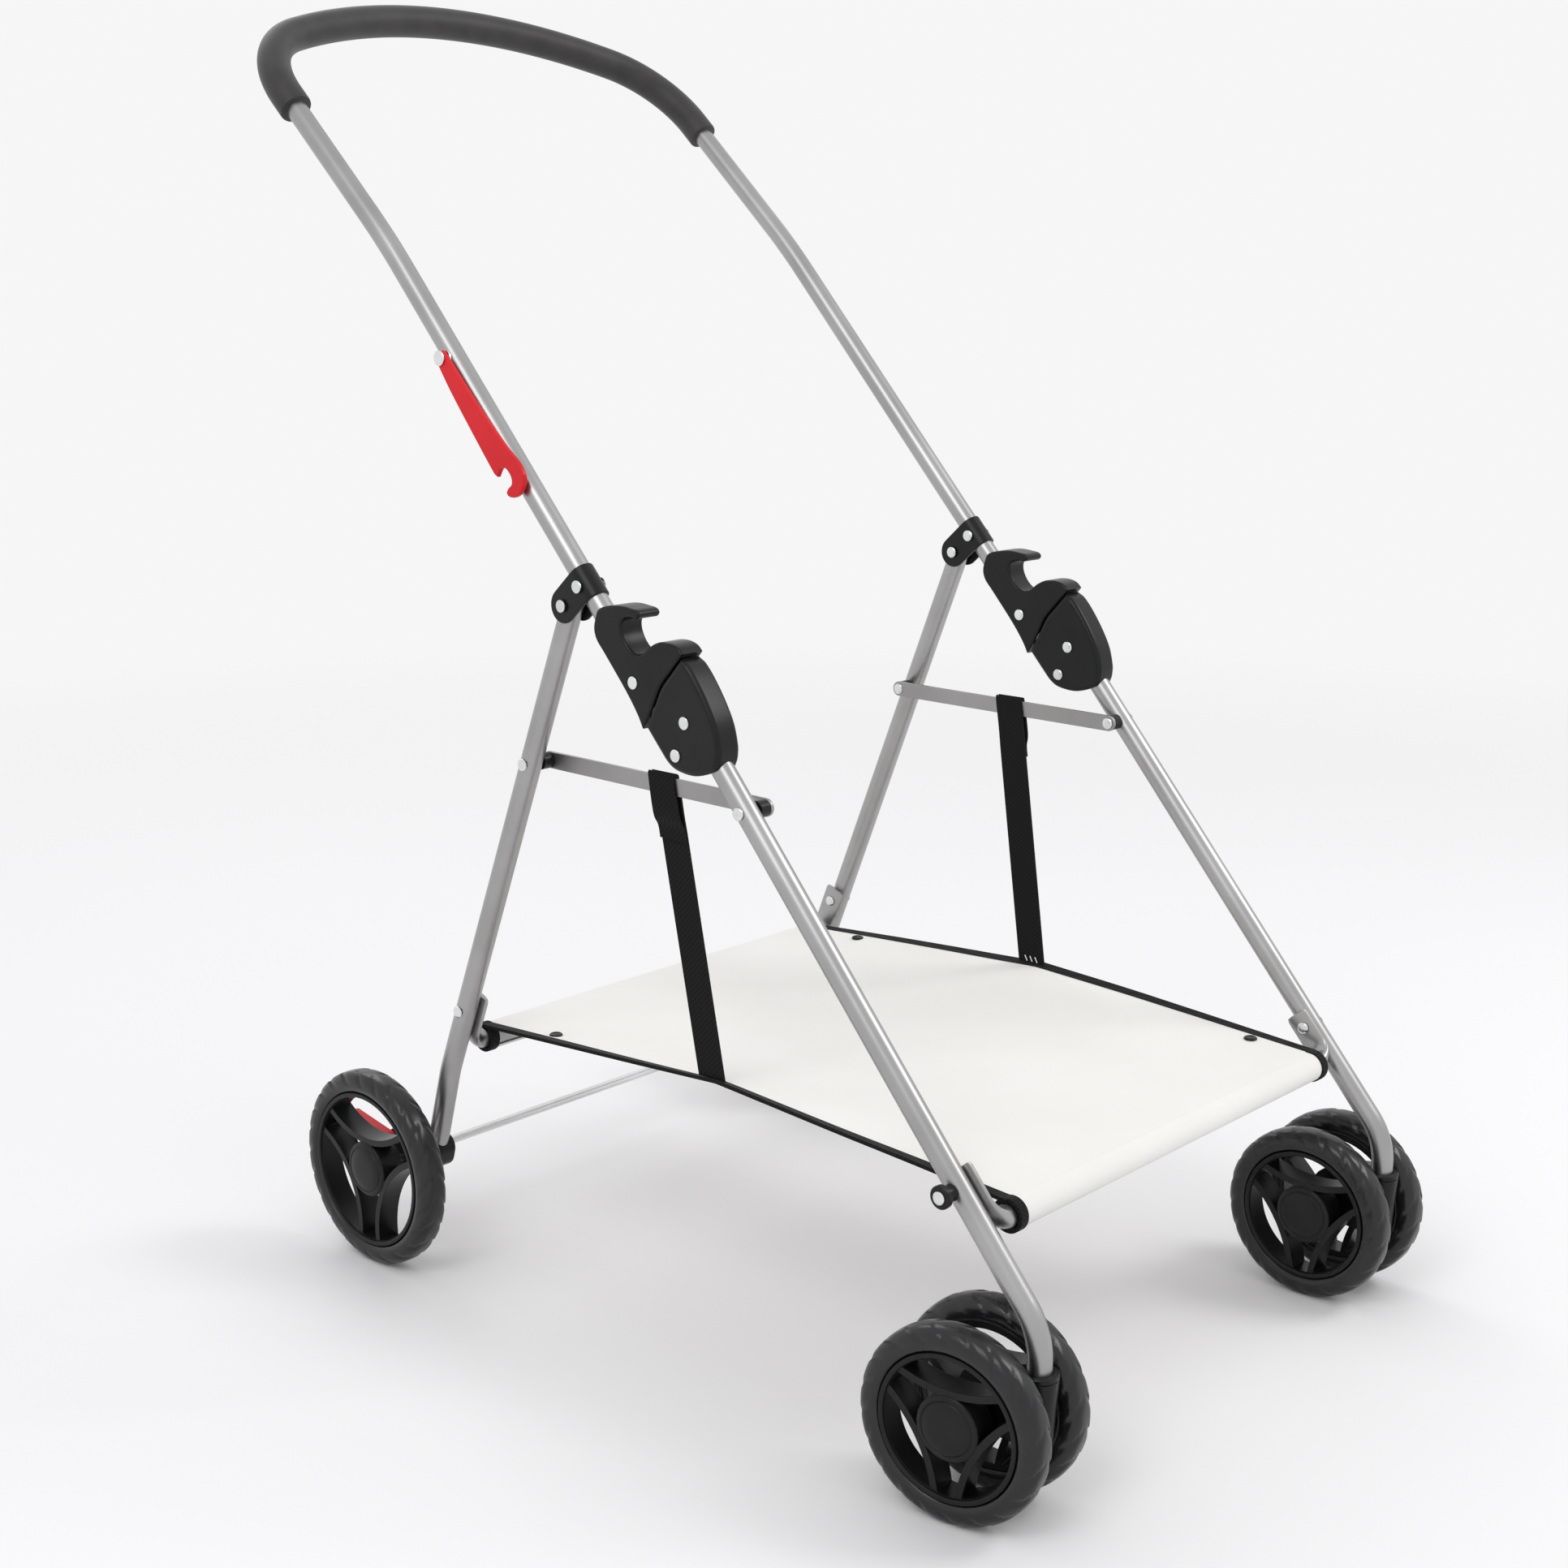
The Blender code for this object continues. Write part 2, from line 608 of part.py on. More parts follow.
def build_caster_collars():
    """Cups on the leg ends, each with the kingpin that its caster turns on."""
    floor = COLLAR_TOP - COLLAR_DEPTH
    profile = [(floor - KINGPIN_LENGTH, 0), (floor - KINGPIN_LENGTH, KINGPIN_RADIUS), (floor, KINGPIN_RADIUS),
               (floor, COLLAR_RADIUS), (COLLAR_TOP - COLLAR_FLANGE, COLLAR_RADIUS),
               (COLLAR_TOP - COLLAR_FLANGE, COLLAR_FLANGE_RADIUS), (COLLAR_TOP, COLLAR_FLANGE_RADIUS),
               (COLLAR_TOP, TUBE_BORE), (floor + COLLAR_FLOOR, TUBE_BORE), (floor + COLLAR_FLOOR, 0)]
    place = Vector((0, KINGPIN_BEND.y, 0))
    for name, side in SIDES:
        collar = to_side(moved(turned(profile, TUBE_SIDES), place, upright=True), side)
        add_piece("caster_collar_" + name, collar, "black_plastic", at_side(place, side))


# Handle
def handle_frames():
    """The start of the handle's upper plane and its direction."""
    upper_angle = HANDLE_ANGLE - HANDLE_BEND_ANGLE
    direction = Vector((0, math.cos(upper_angle), math.sin(upper_angle)))
    return on_handle(HANDLE_BEND_AT), direction


def handle_path():
    """The handle's axis from the right lower end round to the left one."""
    bend, direction = handle_frames()
    corner_turn = math.pi / 2 - HANDLE_ARCH_HALF_ANGLE
    half = [on_handle(-HANDLE_BELOW_PIVOT), bend, bend + direction * HANDLE_CORNER_START]
    half = rounded_path(half, [HANDLE_BEND_RADIUS], [2])
    corner_centre = LEG_PLANE - HANDLE_CORNER_RADIUS
    points = [point + X_AXIS * LEG_PLANE for point in half]
    for step in range(1, 6):
        angle = corner_turn * step / 5
        x = corner_centre + HANDLE_CORNER_RADIUS * math.cos(angle)
        rise = HANDLE_CORNER_START + HANDLE_CORNER_RADIUS * math.sin(angle)
        points.append(bend + direction * rise + X_AXIS * x)
    arch_x = points[-1].x
    arch_half = math.asin(arch_x / HANDLE_ARCH_RADIUS)
    arch_base = rise - HANDLE_ARCH_RADIUS * math.cos(arch_half)
    for step in range(1, 4):
        angle = arch_half * (1 - step / 3)
        x = HANDLE_ARCH_RADIUS * math.sin(angle)
        rise = arch_base + HANDLE_ARCH_RADIUS * math.cos(angle)
        points.append(bend + direction * rise + X_AXIS * x)
    mirrored = [Vector((-point.x, point.y, point.z)) for point in points[:-1]]
    return points + mirrored[::-1]


def build_handle(body):
    """The bent U tube, drilled for its rivets and slotted for the levers' rivets."""
    origin = FOLD_PIVOT
    handle = add_piece("handle_tube", round_tube(handle_path(), TUBE_RADIUS, TUBE_WALL),
                       "anodised_tube", origin, body)
    reach = 2 * TUBE_RADIUS
    for _, side in SIDES:
        for along in (0, BRACKET_AT):
            drill(handle, on_handle(along), side, -reach, reach)
        ends = [(on_handle(LEVER_RIVET_AT), RIVET_HOLE), (on_handle(LEVER_RIVET_AT + LEVER_TRAVEL), RIVET_HOLE)]
        combine(handle, to_side(plate(around(ends, RIVET_SIDES), -reach, reach), side), "DIFFERENCE")
    drill(handle, HOOK_PIVOT, -1, 0, reach)


def build_grip(body):
    """The foam sleeve over the top of the U."""
    bend, direction = handle_frames()
    start = bend + direction * (HANDLE_CORNER_START - GRIP_BELOW_CORNER)
    level = start.dot(direction)
    path = [point for point in handle_path() if point.dot(direction) > level]
    ends = [Vector((side * LEG_PLANE, start.y, start.z)) for side in (1, -1)]
    path = [ends[0]] + path + [ends[1]]
    wall = GRIP_RADIUS - TUBE_BORE
    add_piece("foam_grip", round_tube(path, GRIP_RADIUS, wall), "foam", start, body)


def bracket_shape():
    """A strap folded round the front of the tube, with round ends on the rear leg."""
    bm = bmesh.new()
    half = BRACKET_WIDTH / 2
    middle = BRACKET_INNER + BRACKET_PLATE / 2
    sections = [(middle, -BRACKET_REACH)]
    for step in range(9):
        angle = math.pi * step / 8
        sections.append((middle * math.cos(angle), middle * math.sin(angle)))
    sections.append((-middle, -BRACKET_REACH))
    rows = []
    for x, forward in sections:
        rows.append([bm.verts.new(on_handle(BRACKET_AT + along, forward, x)) for along in (-half, half)])
    for first, second in zip(rows, rows[1:]):
        bm.faces.new((first[0], first[1], second[1], second[0]))
    for row, x in ((rows[0], middle), (rows[-1], -middle)):
        arc = []
        for step in range(1, 8):
            angle = math.pi * step / 8
            along = BRACKET_AT - half * math.cos(angle)
            arc.append(bm.verts.new(on_handle(along, -BRACKET_REACH - half * math.sin(angle), x)))
        bm.faces.new([row[0]] + arc + [row[1]])
    bmesh.ops.recalc_face_normals(bm, faces=bm.faces)
    return bm


def build_brackets(body):
    """The brackets that pivot the rear legs on the handle, each with its fixing rivet."""
    for name, side in SIDES:
        bracket = add_piece("strap_bracket_" + name, to_side(bracket_shape(), side), "black_plastic",
                            at_side(REAR_PIVOT, side), body)
        thickness = bracket.modifiers.new("plate", "SOLIDIFY")
        thickness.thickness = BRACKET_PLATE
        thickness.offset = 0
        thickness.use_even_offset = True
        drill(bracket, REAR_PIVOT, side, -2 * BRACKET_SIDE, 2 * BRACKET_SIDE)
        sunk = BRACKET_SIDE - 3 * FIT
        combine(bracket, to_side(rivet(on_handle(BRACKET_AT), -sunk, sunk), side), "UNION")


def build_handle_pins(body):
    """The pins that the rear legs turn on, and the hook's rivet with its standoff."""
    for name, side in SIDES:
        pin = to_side(rivet(REAR_PIVOT, -BRACKET_SIDE, BRACKET_SIDE), side)
        add_piece("rear_pivot_pin_" + name, pin, "bright_steel", at_side(REAR_PIVOT, side), body)
    inner_end = TUBE_RADIUS - TUBE_WALL - 1.5 * MM
    face = TUBE_SIDE + HOOK_STANDOFF
    top = face + HOOK_THICKNESS + 2 * FIT
    profile = [(inner_end, 0), (inner_end, RIVET_SHANK), (TUBE_SIDE, RIVET_SHANK), (TUBE_SIDE, RIVET_HEAD + 1 * MM),
               (face - FIT, RIVET_HEAD + 1 * MM), (face - FIT, RIVET_SHANK), (top, RIVET_SHANK), (top, RIVET_HEAD + 1 * MM),
               (top + RIVET_HEAD_HEIGHT, RIVET_HEAD), (top + RIVET_HEAD_HEIGHT, 0)]
    shape = to_side(moved(turned(profile, RIVET_SIDES), HOOK_PIVOT), -1)
    add_piece("hook_rivet", shape, "bright_steel", at_side(HOOK_PIVOT, -1), body)


def coil(start, end):
    """A compression spring between two points, as one unbroken wire."""
    axis = (end - start).normalized()
    across = X_AXIS
    up = axis.cross(across)
    points = []
    for step in range(SPRING_TURNS * SPRING_STEPS + 1):
        share = step / (SPRING_TURNS * SPRING_STEPS)
        angle = 2 * math.pi * SPRING_TURNS * share
        radial = across * math.cos(angle) + up * math.sin(angle)
        points.append(start.lerp(end, share) + radial * SPRING_RADIUS)
    return round_tube(points, SPRING_WIRE, sides=4)


def build_springs(body):
    """The springs in the handle tube that press the latch levers down."""
    low = on_handle(LEVER_RIVET_AT + RIVET_SHANK + SPRING_WIRE + FIT)
    high = on_handle(BRACKET_AT - RIVET_SHANK - SPRING_WIRE - FIT)
    for name, side in SIDES:
        spring = to_side(coil(low, high), side)
        add_piece("latch_spring_" + name, spring, "bright_steel", at_side(low, side), body)


def lever_outline():
    """Side view of the latch lever, with its finger lip and the hollow below it."""
    rear = -(TUBE_RADIUS + 2.4 * MM)
    lip = ((109.5, -7), (114.5, 0), (116.5, 6), (112.5, 15), (106.5, 24), (98, 31.5), (91.5, 36),
           (88.6, 34.5), (89.2, 31), (94, 26.5), (96.8, 21.5), (96, 17))
    neck = ((91, 13.5), (84, 11.9), (77, 12.3), (71.5, 14.8), (68.8, 20.5), (68.2, 29), (66, 36.5),
            (62, 42.5), (57, 47.2), (52, 50), (46.4, 50.3))
    points = [on_handle(32 * MM, -15 * MM), on_handle(42 * MM, -12.5 * MM), on_handle(102 * MM, rear)]
    points += [on_handle(along * MM, forward * MM) for along, forward in lip + neck]
    return points + seam_points(SEAM_GAP)


def build_levers(bodies):
    """Sprung levers that slide up the handle tube to free the fold."""
    for name, side in SIDES:
        shape = plate(lever_outline(), -HOUSING_HALF_WIDTH, HOUSING_HALF_WIDTH, LEVER_CHAMFER)
        place = on_handle(LEVER_RIVET_AT)
        lever = add_piece("latch_lever_" + name, to_side(shape, side), "black_plastic",
                          at_side(place, side), bodies[name])
        bore = round_tube([on_handle(-20 * MM), on_handle(BRACKET_AT)], TUBE_BORE)
        combine(lever, to_side(bore, side), "DIFFERENCE")
        drill(lever, place, side, -2 * HOUSING_HALF_WIDTH, 2 * HOUSING_HALF_WIDTH)
        pin = to_side(rivet(place, -HOUSING_SIDE, HOUSING_SIDE), side)
        add_piece("lever_rivet_" + name, pin, "bright_steel", at_side(place, side), bodies[name])


def hook_outline():
    """The transport hook, drawn hanging down from its pivot."""
    shape = ((-5, 0), (-3.6, 3.6), (0, 5.4), (3.6, 3.8), (5.2, 0), (6.4, -24), (8.6, -56), (12, -86),
             (15, -101), (15.4, -108), (14, -114.5), (9.6, -119), (3, -121), (-3, -120), (-7.6, -116.2),
             (-8.2, -112.6), (-5, -111), (0, -111), (2.6, -108), (3.2, -103.5), (2.2, -99), (-1.6, -96.4),
             (-8.4, -98.2), (-9.6, -95), (-8.8, -60), (-7.4, -24))
    turn = Matrix.Rotation(-(math.pi / 2 - HANDLE_ANGLE) - HOOK_TURN, 3, "X")
    return [HOOK_PIVOT + turn @ Vector((0, -forward * MM, up * MM)) for forward, up in shape]


def build_hook(body):
    """The red hook that keeps the folded frame closed."""
    start = TUBE_SIDE + HOOK_STANDOFF
    shape = to_side(plate(hook_outline(), start, start + HOOK_THICKNESS), -1)
    hook = add_piece("transport_hook", shape, "red_plastic", at_side(HOOK_PIVOT, -1), body)
    drill(hook, HOOK_PIVOT, -1, 0, 3 * TUBE_RADIUS)


# Rear frame
def build_rear_legs(body):
    """Two tubes from the brackets down to the axle sockets, with their rivets swaged in."""
    bottom = SOCKET_TOP + REAR_LOWER * (SOCKET_DEPTH - FIT)
    path = rounded_path([on_rear_leg(-REAR_LEG_ABOVE_PIVOT), REAR_BEND, bottom], [REAR_LEG_BEND_RADIUS], [2])
    for name, side in SIDES:
        tube = to_side(round_tube(path, TUBE_RADIUS, TUBE_WALL), side)
        leg = add_piece("rear_leg_" + name, tube, "anodised_tube", at_side(REAR_PIVOT, side), body)
        for place in (REAR_PIVOT, LINK_REAR):
            drill(leg, place, side, -2 * TUBE_RADIUS, 2 * TUBE_RADIUS)
        combine(leg, to_side(rivet(REAR_CROSS_RIVET, CROSS_FLAT_SIDE, TUBE_SIDE), side), "UNION")


def build_rear_cross_tube(body):
    """The tube at the rear edge of the basket sheet."""
    tube = cross_tube(REAR_CROSS_RIVET, REAR_LEG_DIRECTION, REAR_CROSS)
    piece = add_piece("rear_cross_tube", tube, "anodised_tube", REAR_CROSS, body)
    for _, side in SIDES:
        drill(piece, REAR_CROSS_RIVET, side, 2 * CROSS_FLAT_SIDE, 0)


def build_rear_pins(body):
    """The shouldered pins of the link bars, and the pins of the brake pedals."""
    profile = [(-SPACER_END, 0)] + shoulder()[1:] + rivet_end(TUBE_SIDE, 1)[::-1]
    pedal_side = SOCKET_HALF_WIDTH + PEDAL_GAP + PEDAL_WIDTH + FIT
    for name, side in SIDES:
        pin = to_side(moved(turned(profile, RIVET_SIDES), LINK_REAR), side)
        add_piece("rear_link_pin_" + name, pin, "bright_steel", at_side(LINK_REAR, side), body)
        pin = to_side(rivet(PEDAL_PIVOT, -SOCKET_HALF_WIDTH - FIT, pedal_side), side)
        add_piece("pedal_pin_" + name, pin, "bright_steel", at_side(PEDAL_PIVOT, side), body)


def build_axle_sockets(body):
    """Plastic sockets that hold the leg ends, the axle and the brake pedals."""
    cheek = SOCKET_HALF_WIDTH
    top = SOCKET_TOP + REAR_LOWER * cheek
    end = SOCKET_TOP + REAR_LOWER * (SOCKET_DEPTH + 1 * MM)
    outline = around([(top, cheek), (end, cheek), (REAR_AXLE, SOCKET_AXLE_BOSS), (PEDAL_PIVOT, PEDAL_BOSS)], 12)
    for name, side in SIDES:
        shape = to_side(plate(outline, -cheek, cheek), side)
        socket = add_piece("axle_socket_" + name, shape, "black_plastic", at_side(REAR_AXLE, side), body)
        bore = round_tube([SOCKET_TOP - REAR_LOWER * cheek, SOCKET_TOP + REAR_LOWER * SOCKET_DEPTH], TUBE_BORE)
        combine(socket, to_side(bore, side), "DIFFERENCE")
        drill(socket, REAR_AXLE, side, -2 * cheek, 2 * cheek, axle_bore())
        drill(socket, PEDAL_PIVOT, side, -2 * cheek, 2 * cheek)


def axle_bore():
    """The bore of a wheel or a socket on its axle."""
    return (AXLE_RADIUS + FIT) / math.cos(math.pi / RIVET_SIDES)


def build_axle(body):
    """The bare rod that carries both rear wheels."""
    end = LEG_PLANE + REAR_WHEEL_OUT + AXLE_IN_RIM
    add_piece("rear_axle", cross_pin(REAR_AXLE, -end, end, AXLE_RADIUS), "bright_steel", REAR_AXLE, body)


def build_pedals(bodies):
    """Red brake pedals behind the sockets, inside the wheels."""
    outline = around([(PEDAL_PIVOT, PEDAL_BOSS), (PEDAL_TIP, PEDAL_TIP_RADIUS)], 12)
    start = SOCKET_HALF_WIDTH + PEDAL_GAP
    for name, side in SIDES:
        shape = to_side(plate(outline, start, start + PEDAL_WIDTH), side)
        pedal = add_piece("brake_pedal_" + name, shape, "red_plastic", at_side(PEDAL_PIVOT, side), bodies[name])
        drill(pedal, PEDAL_PIVOT, side, 0, 4 * SOCKET_HALF_WIDTH)


# Links
def build_links(bodies):
    """Flat bars that hold the front and rear legs apart, with their rear rivet heads."""
    outline = around([(LINK_FRONT, BAR_HALF_WIDTH), (LINK_REAR, BAR_HALF_WIDTH)], 8)
    head = rivet_end(-BAR_INNER, -1)[:-1]
    head += [(FIT - BAR_INNER, RIVET_HEAD), (FIT - BAR_INNER, 0)]
    for name, side in SIDES:
        shape = to_side(plate(outline, -BAR_INNER, -BAR_OUTER), side)
        bar = add_piece("link_bar_" + name, shape, "painted_steel", at_side(LINK_FRONT, side), bodies[name])
        drill(bar, LINK_FRONT, side, -2 * BAR_INNER, 0)
        combine(bar, to_side(moved(turned(head, RIVET_SIDES), LINK_REAR), side), "UNION")


# Wheels
def circle_points(radius, start, end, steps):
    """Points on a circle round the wheel's axis, as (angle, radius) turned to y and z."""
    points = []
    for step in range(steps + 1):
        angle = start + (end - start) * step / steps
        points.append((radius * math.cos(angle), radius * math.sin(angle)))
    return points


def rim_openings(inner_radius):
    """Outlines of the openings between the three curved ribs, the hub and the rim."""
    half_chord = inner_radius * math.sin(RIB_HALF_ANGLE)
    nearest = HUB_RADIUS + RIM_RIB / 4
    depth = inner_radius * math.cos(RIB_HALF_ANGLE) - nearest
    curve = (half_chord ** 2 + depth ** 2) / (2 * depth)
    centre = nearest + curve
    openings = []
    for spoke in range(3):
        turn = math.pi / 2 + spoke * math.tau / 3
        openings.append(turned_points(lens_outline(inner_radius, centre, curve - RIM_RIB / 2), turn))
        openings.append(turned_points(gap_outline(inner_radius, centre, curve + RIM_RIB / 2), turn))
    return openings


def meeting_angle(radius, centre, curve):
    """Where a circle round the axis meets a rib's edge, as an angle from the rib."""
    return math.acos((radius ** 2 + centre ** 2 - curve ** 2) / (2 * radius * centre))


def rib_points(radius_from, radius_to, centre, curve, steps):
    """Points along one edge of a rib, between two distances from the axis."""
    points = []
    angles = []
    for radius in (radius_from, radius_to):
        side = radius * math.sin(meeting_angle(radius, centre, curve))
        angles.append(math.asin(side / curve))
    for step in range(steps + 1):
        angle = angles[0] + (angles[1] - angles[0]) * step / steps
        points.append((centre - curve * math.cos(angle), curve * math.sin(angle)))
    return points


def lens_outline(inner_radius, centre, curve):
    """The large opening between a rib and the rim."""
    half = meeting_angle(inner_radius, centre, curve)
    points = circle_points(inner_radius, -half, half, 4)
    nearest = centre - curve
    upper = rib_points(inner_radius, nearest * 1.0001, centre, curve, 2)[1:]
    lower = [(y, -z) for y, z in upper[::-1]][1:]
    return points + upper + lower


def gap_outline(inner_radius, centre, curve):
    """The small opening between two ribs, beside the hub."""
    reach = meeting_angle(inner_radius, centre, curve)
    at_hub = meeting_angle(HUB_RADIUS, centre, curve)
    third = math.tau / 3
    outer = circle_points(inner_radius, reach, third - reach, 2)
    inner = circle_points(HUB_RADIUS, third - at_hub, at_hub, 2)
    first = rib_points(HUB_RADIUS, inner_radius, centre, curve, 2)[1:-1]
    second = turned_points([(y, -z) for y, z in first], third)
    return outer + second[::-1] + inner + first


def turned_points(points, angle):
    """Turn flat points round the wheel's axis."""
    cosine = math.cos(angle)
    sine = math.sin(angle)
    return [(y * cosine - z * sine, y * sine + z * cosine) for y, z in points]


def rim_shape(rim_radius):
    """The rim, ribs and hub wall as one plate with openings, before the hub is added."""
    bm = bmesh.new()
    phase = math.pi / WHEEL_SIDES
    corner = rim_radius / math.cos(phase)
    loops = [circle_points(corner, phase, phase + math.tau, WHEEL_SIDES)[:-1]]
    loops += rim_openings(rim_radius - RIM_LIP)
    edges = []
    for loop in loops:
        verts = [bm.verts.new((-RIM_HALF_WIDTH, y, z)) for y, z in loop]
        edges += [bm.edges.new(pair) for pair in zip(verts, verts[1:] + verts[:1])]
    bmesh.ops.triangle_fill(bm, use_beauty=True, use_dissolve=False, edges=edges)
    grown = bmesh.ops.extrude_face_region(bm, geom=bm.faces[:])
    top = [item for item in grown["geom"] if isinstance(item, bmesh.types.BMVert)]
    bmesh.ops.translate(bm, verts=top, vec=(2 * RIM_HALF_WIDTH, 0, 0))
    bmesh.ops.recalc_face_normals(bm, faces=bm.faces)
    return bm


def build_wheel(name, radius, place, body, side):
    """A tyre and a rim whose outboard side faces the given side."""
    phase = math.pi / WHEEL_SIDES
    grow = 1 / math.cos(phase)
    seat = radius - TYRE_DEPTH
    profile = [(-0.8 * TYRE_HALF_WIDTH, seat), (-TYRE_HALF_WIDTH, radius - 0.4 * TYRE_DEPTH),
               (-TYRE_CROWN_HALF_WIDTH, radius)]
    profile += [(-x, size) for x, size in profile[::-1]]
    profile = [(x, size * grow) for x, size in profile]
    tyre = turned(profile, WHEEL_SIDES, closed=True, phase=phase)
    add_piece("tyre_" + name, moved(tyre, place), "tyre", place, body)
    rim = rim_shape(seat - FIT)
    if side < 0:
        rim = to_side(rim, side, 0)
    piece = add_piece("rim_" + name, moved(rim, place), "black_plastic", place, body)
    face = RIM_HALF_WIDTH - 1 * MM
    cap = [(face, 0), (face, HUB_RADIUS - 1 * MM), (RIM_HALF_WIDTH + HUB_CAP_PROUD, HUB_CAP_RADIUS),
           (RIM_HALF_WIDTH + HUB_CAP_PROUD, 0)]
    combine(piece, moved(to_side(turned(cap, TUBE_SIDES), side, 0), place), "UNION")
    boss = [(-RIM_HALF_WIDTH - HUB_BOSS_PROUD, 0), (-RIM_HALF_WIDTH - HUB_BOSS_PROUD, HUB_BOSS_RADIUS),
            (-face, HUB_BOSS_RADIUS), (-face, 0)]
    combine(piece, moved(to_side(turned(boss, TUBE_SIDES), side, 0), place), "UNION")
    bore = [(-2 * RIM_HALF_WIDTH, 0), (-2 * RIM_HALF_WIDTH, axle_bore()), (AXLE_IN_RIM + FIT, axle_bore()),
            (AXLE_IN_RIM + FIT, 0)]
    combine(piece, moved(to_side(turned(bore, RIVET_SIDES), side, 0), place), "DIFFERENCE")


def build_rear_wheels(bodies):
    """One wheel outboard of each rear leg."""
    for name, side in SIDES:
        place = at_side(REAR_AXLE, side, REAR_WHEEL_OUT)
        build_wheel("rear_" + name, REAR_WHEEL_RADIUS, place, bodies[name], side)


def build_casters(bodies, wheel_bodies):
    """Trailing forks, each with twin wheels, on the kingpins."""
    for name, side in SIDES:
        body = bodies[name]
        kingpin = at_side(Vector((0, KINGPIN_BEND.y, 0)), side)
        axle = at_side(CASTER_AXLE, side)
        floor = COLLAR_TOP - COLLAR_DEPTH
        top = COLLAR_TOP - COLLAR_FLANGE - FIT
        foot = floor - KINGPIN_LENGTH - 1 * MM
        column = [(foot, 0), (foot, FORK_FOOT_RADIUS), (top, COLLAR_FLANGE_RADIUS), (top, 0)]
        shape = moved(turned(column, TUBE_SIDES), kingpin, upright=True)
        fork = add_piece("caster_fork_" + name, shape, "black_plastic", kingpin + Vector((0, 0, foot)), body)
        arm = around([(CASTER_AXLE, 0.9 * FORK_BOSS_RADIUS),
                      (Vector((0, KINGPIN_BEND.y + 2 * MM, floor - KINGPIN_LENGTH + 8 * MM)), 7 * MM),
                      (Vector((0, KINGPIN_BEND.y + 3 * MM, floor)), 7 * MM)], 12)
        combine(fork, to_side(plate(arm, -FORK_ARM_HALF_WIDTH, FORK_ARM_HALF_WIDTH), side), "UNION")
        boss = [(-FORK_BOSS_HALF_WIDTH, 0), (-FORK_BOSS_HALF_WIDTH, FORK_BOSS_RADIUS),
                (FORK_BOSS_HALF_WIDTH, FORK_BOSS_RADIUS), (FORK_BOSS_HALF_WIDTH, 0)]
        combine(fork, moved(turned(boss, TUBE_SIDES), axle), "UNION")
        cup = (COLLAR_RADIUS + FIT) / math.cos(math.pi / TUBE_SIDES)
        pin = (KINGPIN_RADIUS + FIT) / math.cos(math.pi / TUBE_SIDES)
        hollow = [(foot - 5 * MM, 0), (foot - 5 * MM, pin), (floor - FIT, pin), (floor - FIT, cup),
                  (top + 5 * MM, cup), (top + 5 * MM, 0)]
        combine(fork, moved(turned(hollow, TUBE_SIDES), kingpin, upright=True), "DIFFERENCE")
        bore = cross_pin(axle, -2 * FORK_BOSS_HALF_WIDTH, 2 * FORK_BOSS_HALF_WIDTH, axle_bore())
        combine(fork, bore, "DIFFERENCE")
        end = CASTER_WHEEL_OUT + AXLE_IN_RIM
        add_piece("front_axle_" + name, cross_pin(axle, -end, end, AXLE_RADIUS), "bright_steel", axle, body)
        for where, outward in (("outer", side), ("inner", -side)):
            place = axle + X_AXIS * outward * CASTER_WHEEL_OUT
            wheel = "front_" + name + "_" + where
            build_wheel(wheel, FRONT_WHEEL_RADIUS, place, wheel_bodies[wheel], outward)


# Soft goods
def sheet_level(y):
    """How far along the basket sheet a place is, and its height on the tube tops."""
    span = REAR_CROSS.y - FRONT_CROSS.y
    share = (y - FRONT_CROSS.y) / span
    return share, FRONT_CROSS.z + (REAR_CROSS.z - FRONT_CROSS.z) * share + HEM_RADIUS


def sheet_height(x, y):
    """The middle surface of the basket sheet, whose sides run straight up to the straps."""
    share, level = sheet_level(y)
    bulge = max(math.sin(math.pi * share), 0)
    lift = SHEET_LIFT * max(1 - abs(share - SHEET_PEAK_AT) / SHEET_PEAK_AT, 0)
    across = (x / SHEET_HALF_WIDTH) ** 2
    return level + lift * across - bulge * SHEET_SAG * (1 - across)


def build_sheet():
    """The cloth between the cross tubes, with its hems wrapped round them."""
    rows = []
    for step in range(HEM_STEPS):
        angle = math.pi / 2 + HEM_WRAP * (1 - step / HEM_STEPS)
        rows.append((FRONT_CROSS.y + HEM_RADIUS * math.cos(angle), FRONT_CROSS.z + HEM_RADIUS * math.sin(angle)))
    steps = 10
    for step in range(steps + 1):
        rows.append((FRONT_CROSS.y + (REAR_CROSS.y - FRONT_CROSS.y) * step / steps, None))
    for step in range(1, HEM_STEPS + 1):
        angle = math.pi / 2 - HEM_WRAP * step / HEM_STEPS
        rows.append((REAR_CROSS.y + HEM_RADIUS * math.cos(angle), REAR_CROSS.z + HEM_RADIUS * math.sin(angle)))
    bm = bmesh.new()
    grid = []
    for y, z in rows:
        line = []
        for column in range(-2, 3):
            x = SHEET_HALF_WIDTH * column / 2
            height = sheet_height(x, y) if z is None else z
            line.append(bm.verts.new((x, y, height)))
        grid.append(line)
    for first, second in zip(grid, grid[1:]):
        for column in range(4):
            bm.faces.new((first[column], first[column + 1], second[column + 1], second[column]))
    sheet = add_piece("basket_sheet", bm, "sheet_cloth", FRONT_CROSS)
    thickness = sheet.modifiers.new("cloth", "SOLIDIFY")
    thickness.thickness = SHEET_THICKNESS
    thickness.offset = 0
    thickness.use_even_offset = True
    add_snaps(sheet)


